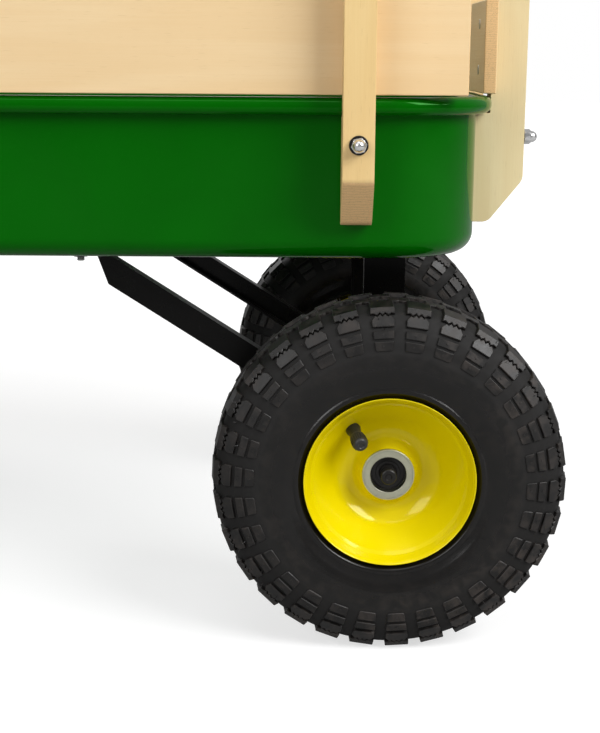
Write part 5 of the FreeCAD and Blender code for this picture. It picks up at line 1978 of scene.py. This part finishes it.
@dataclass
class Studio:
    """White floor and surround, soft lights, and the camera at the photograph's angle."""

    floor_size: float = 24.0
    low_fill: float = 0.06
    high_fill: float = 0.28
    floor_mirrored: float = 0.1
    sky_mirrored: float = 0.26
    lens: float = 70.43
    pitch: float = 12.35
    roll: float = 0.4
    camera_reach: Corner = (65.4, 1029.6, 302.5)
    nearest: float = 0.05

    def seen(self, wiring: Wiring, mirrored_share: float) -> Any:
        """How white a ray sees the studio: in full for the camera and through glass, in part in reflections.

        Args:
            wiring: Adds nodes to the floor's material or the world.
            mirrored_share: How much of it reflections see.

        Returns:
            The share, from 0 to 1.
        """
        path = wiring.add("ShaderNodeLightPath", {}).outputs
        straight = wiring.maths("MAXIMUM", path["Is Camera Ray"], path["Is Transmission Ray"])
        glossy = wiring.maths("MULTIPLY", path["Is Glossy Ray"], mirrored_share)
        return wiring.maths("MAXIMUM", straight, glossy)

    def floor(self) -> None:
        """Pale floor that shows white to the camera and keeps a soft shadow."""
        half = self.floor_size * 500
        bench = Bench("floor")
        bench.draw(Plane(Vector(), X, Y), [(-half, -half), (half, -half), (half, half), (-half, half)])
        bench.fill()
        bpy.ops.mesh.subdivide(number_cuts=3)
        bpy.ops.mesh.flip_normals()
        sheet = bench.done()
        material = bpy.data.materials.new("studio_floor")
        material.use_nodes = True
        wiring = Wiring(material.node_tree)
        material.node_tree.nodes.clear()
        seen = self.seen(wiring, self.floor_mirrored)
        grain = wiring.span(wiring.noise(wiring.place(), 60, 3), 0.3, 0.7, 0.96, 1.0)
        tone = wiring.blend(grain, (0.37, 0.37, 0.37), (0.4, 0.4, 0.4))
        pale = wiring.add("ShaderNodeBsdfDiffuse", {"Color": tone})
        shown = wiring.add("ShaderNodeBsdfDiffuse", {"Color": (0.45, 0.45, 0.45, 1)})
        away = wiring.add("ShaderNodeVectorMath", {0: wiring.place()}, operation="LENGTH").outputs["Value"]
        strength = wiring.span(away, 1.4, 3.2, 0.66, 1.0)
        glow = wiring.add("ShaderNodeEmission", {"Color": (1, 1, 1, 1), "Strength": strength})
        lit = wiring.add("ShaderNodeAddShader", {0: shown.outputs[0], 1: glow.outputs[0]})
        mix = wiring.add("ShaderNodeMixShader", {0: seen, 1: pale.outputs[0], 2: lit.outputs[0]})
        under = wiring.add("ShaderNodeNewGeometry", {}).outputs["Backfacing"]
        clear = wiring.add("ShaderNodeBsdfTransparent", {}).outputs[0]
        open_below = wiring.add("ShaderNodeMixShader", {0: under, 1: mix.outputs[0], 2: clear})
        wiring.add("ShaderNodeOutputMaterial", {"Surface": open_below.outputs[0]})
        sheet.data.materials.append(material)

    def surround(self) -> None:
        """White world for the eye and for reflections, with a plainer light level."""
        world = bpy.data.worlds.new("studio")
        world.use_nodes = True
        bpy.context.scene.world = world
        wiring = Wiring(world.node_tree)
        seen = self.seen(wiring, self.sky_mirrored)
        way = wiring.add("ShaderNodeTexCoord", {}).outputs["Generated"]
        height = wiring.add("ShaderNodeSeparateXYZ", {0: way}).outputs[2]
        sky = wiring.span(height, -0.05, 0.75, self.low_fill, self.high_fill)
        level = wiring.span(seen, 0.0, 1.0, sky, 1.0)
        background = world.node_tree.nodes["Background"].inputs
        wiring.feed(background["Color"], (1, 1, 1, 1))
        wiring.feed(background["Strength"], level)

    def light(self, name: str, place: Sequence[float], target: Sequence[float], size: float, power: float,
              mirrored: bool = True) -> None:
        """Square soft light.

        Args:
            name: Its name.
            place: Where it stands, in metres.
            target: What it points at.
            size: Its side, in metres.
            power: Its power in watts.
            mirrored: Whether glossy surfaces show it.
        """
        clear_selection()
        bpy.ops.object.light_add(type="AREA", location=place)
        lamp = bpy.context.object
        lamp.name = name
        lamp.data.shape = "SQUARE"
        lamp.data.size = size
        lamp.data.energy = power
        lamp.visible_glossy = mirrored
        lamp.rotation_euler = (Vector(target) - Vector(place)).to_track_quat("-Z", "Y").to_euler()

    def camera(self) -> None:
        """Camera beside the rear wheel, looking a little down."""
        wheel = middle_of("tyre_rear_left") / 1000
        clear_selection()
        bpy.ops.object.camera_add(location=wheel + metres(*self.camera_reach))
        camera = bpy.context.object
        camera.name = "view"
        turn = Matrix.Rotation(math.pi, 3, "Z") @ Matrix.Rotation(QUARTER - math.radians(self.pitch), 3, "X")
        camera.rotation_euler = (turn @ Matrix.Rotation(math.radians(self.roll), 3, "Z")).to_euler()
        camera.data.lens = self.lens
        camera.data.clip_start = self.nearest
        bpy.context.scene.camera = camera

    def build(self) -> None:
        """Set the whole studio up."""
        self.floor()
        self.surround()
        self.light("key", (-2.6, 1.65, 2.0), (-0.7, 0.2, 0.3), 1.7, 93)
        self.light("top", (-0.4, 1.0, 2.6), (-0.6, 0.1, 0.2), 1.3, 9)
        self.light("fill", (1.1, 2.3, 1.5), (-0.5, 0.1, 0.2), 1.5, 30)
        self.light("front", (2.7, -0.7, 1.9), (0.0, 0.0, 0.3), 1.8, 22, mirrored=False)
        self.light("back", (0.2, -2.6, 2.0), (-0.4, 0.0, 0.3), 2.0, 30)
        self.camera()
        bpy.context.scene.view_settings.view_transform = "Standard"


def main() -> None:
    """Build every sub-assembly in order, then the studio."""
    logging.basicConfig(level=logging.INFO, format="%(name)s: %(message)s")
    fasteners = Fasteners()
    Tray().dress()
    for rack in (Rack(Side.LEFT, 0, 3, 70), Rack(Side.RIGHT, 180, 3, 12), Rack(Side.FRONT, -90, 2, 13),
                 Rack(Side.REAR, 90, 2, 42)):
        rack.dress(fasteners)
    Undercarriage().dress(fasteners)
    Axle("rear_axle", "root").dress()
    Axle("front_axle", "steering").dress()
    Wheel().dress()
    Handle().dress()
    fasteners.tidy()
    Studio().build()


if __name__ == "__main__":
    main()
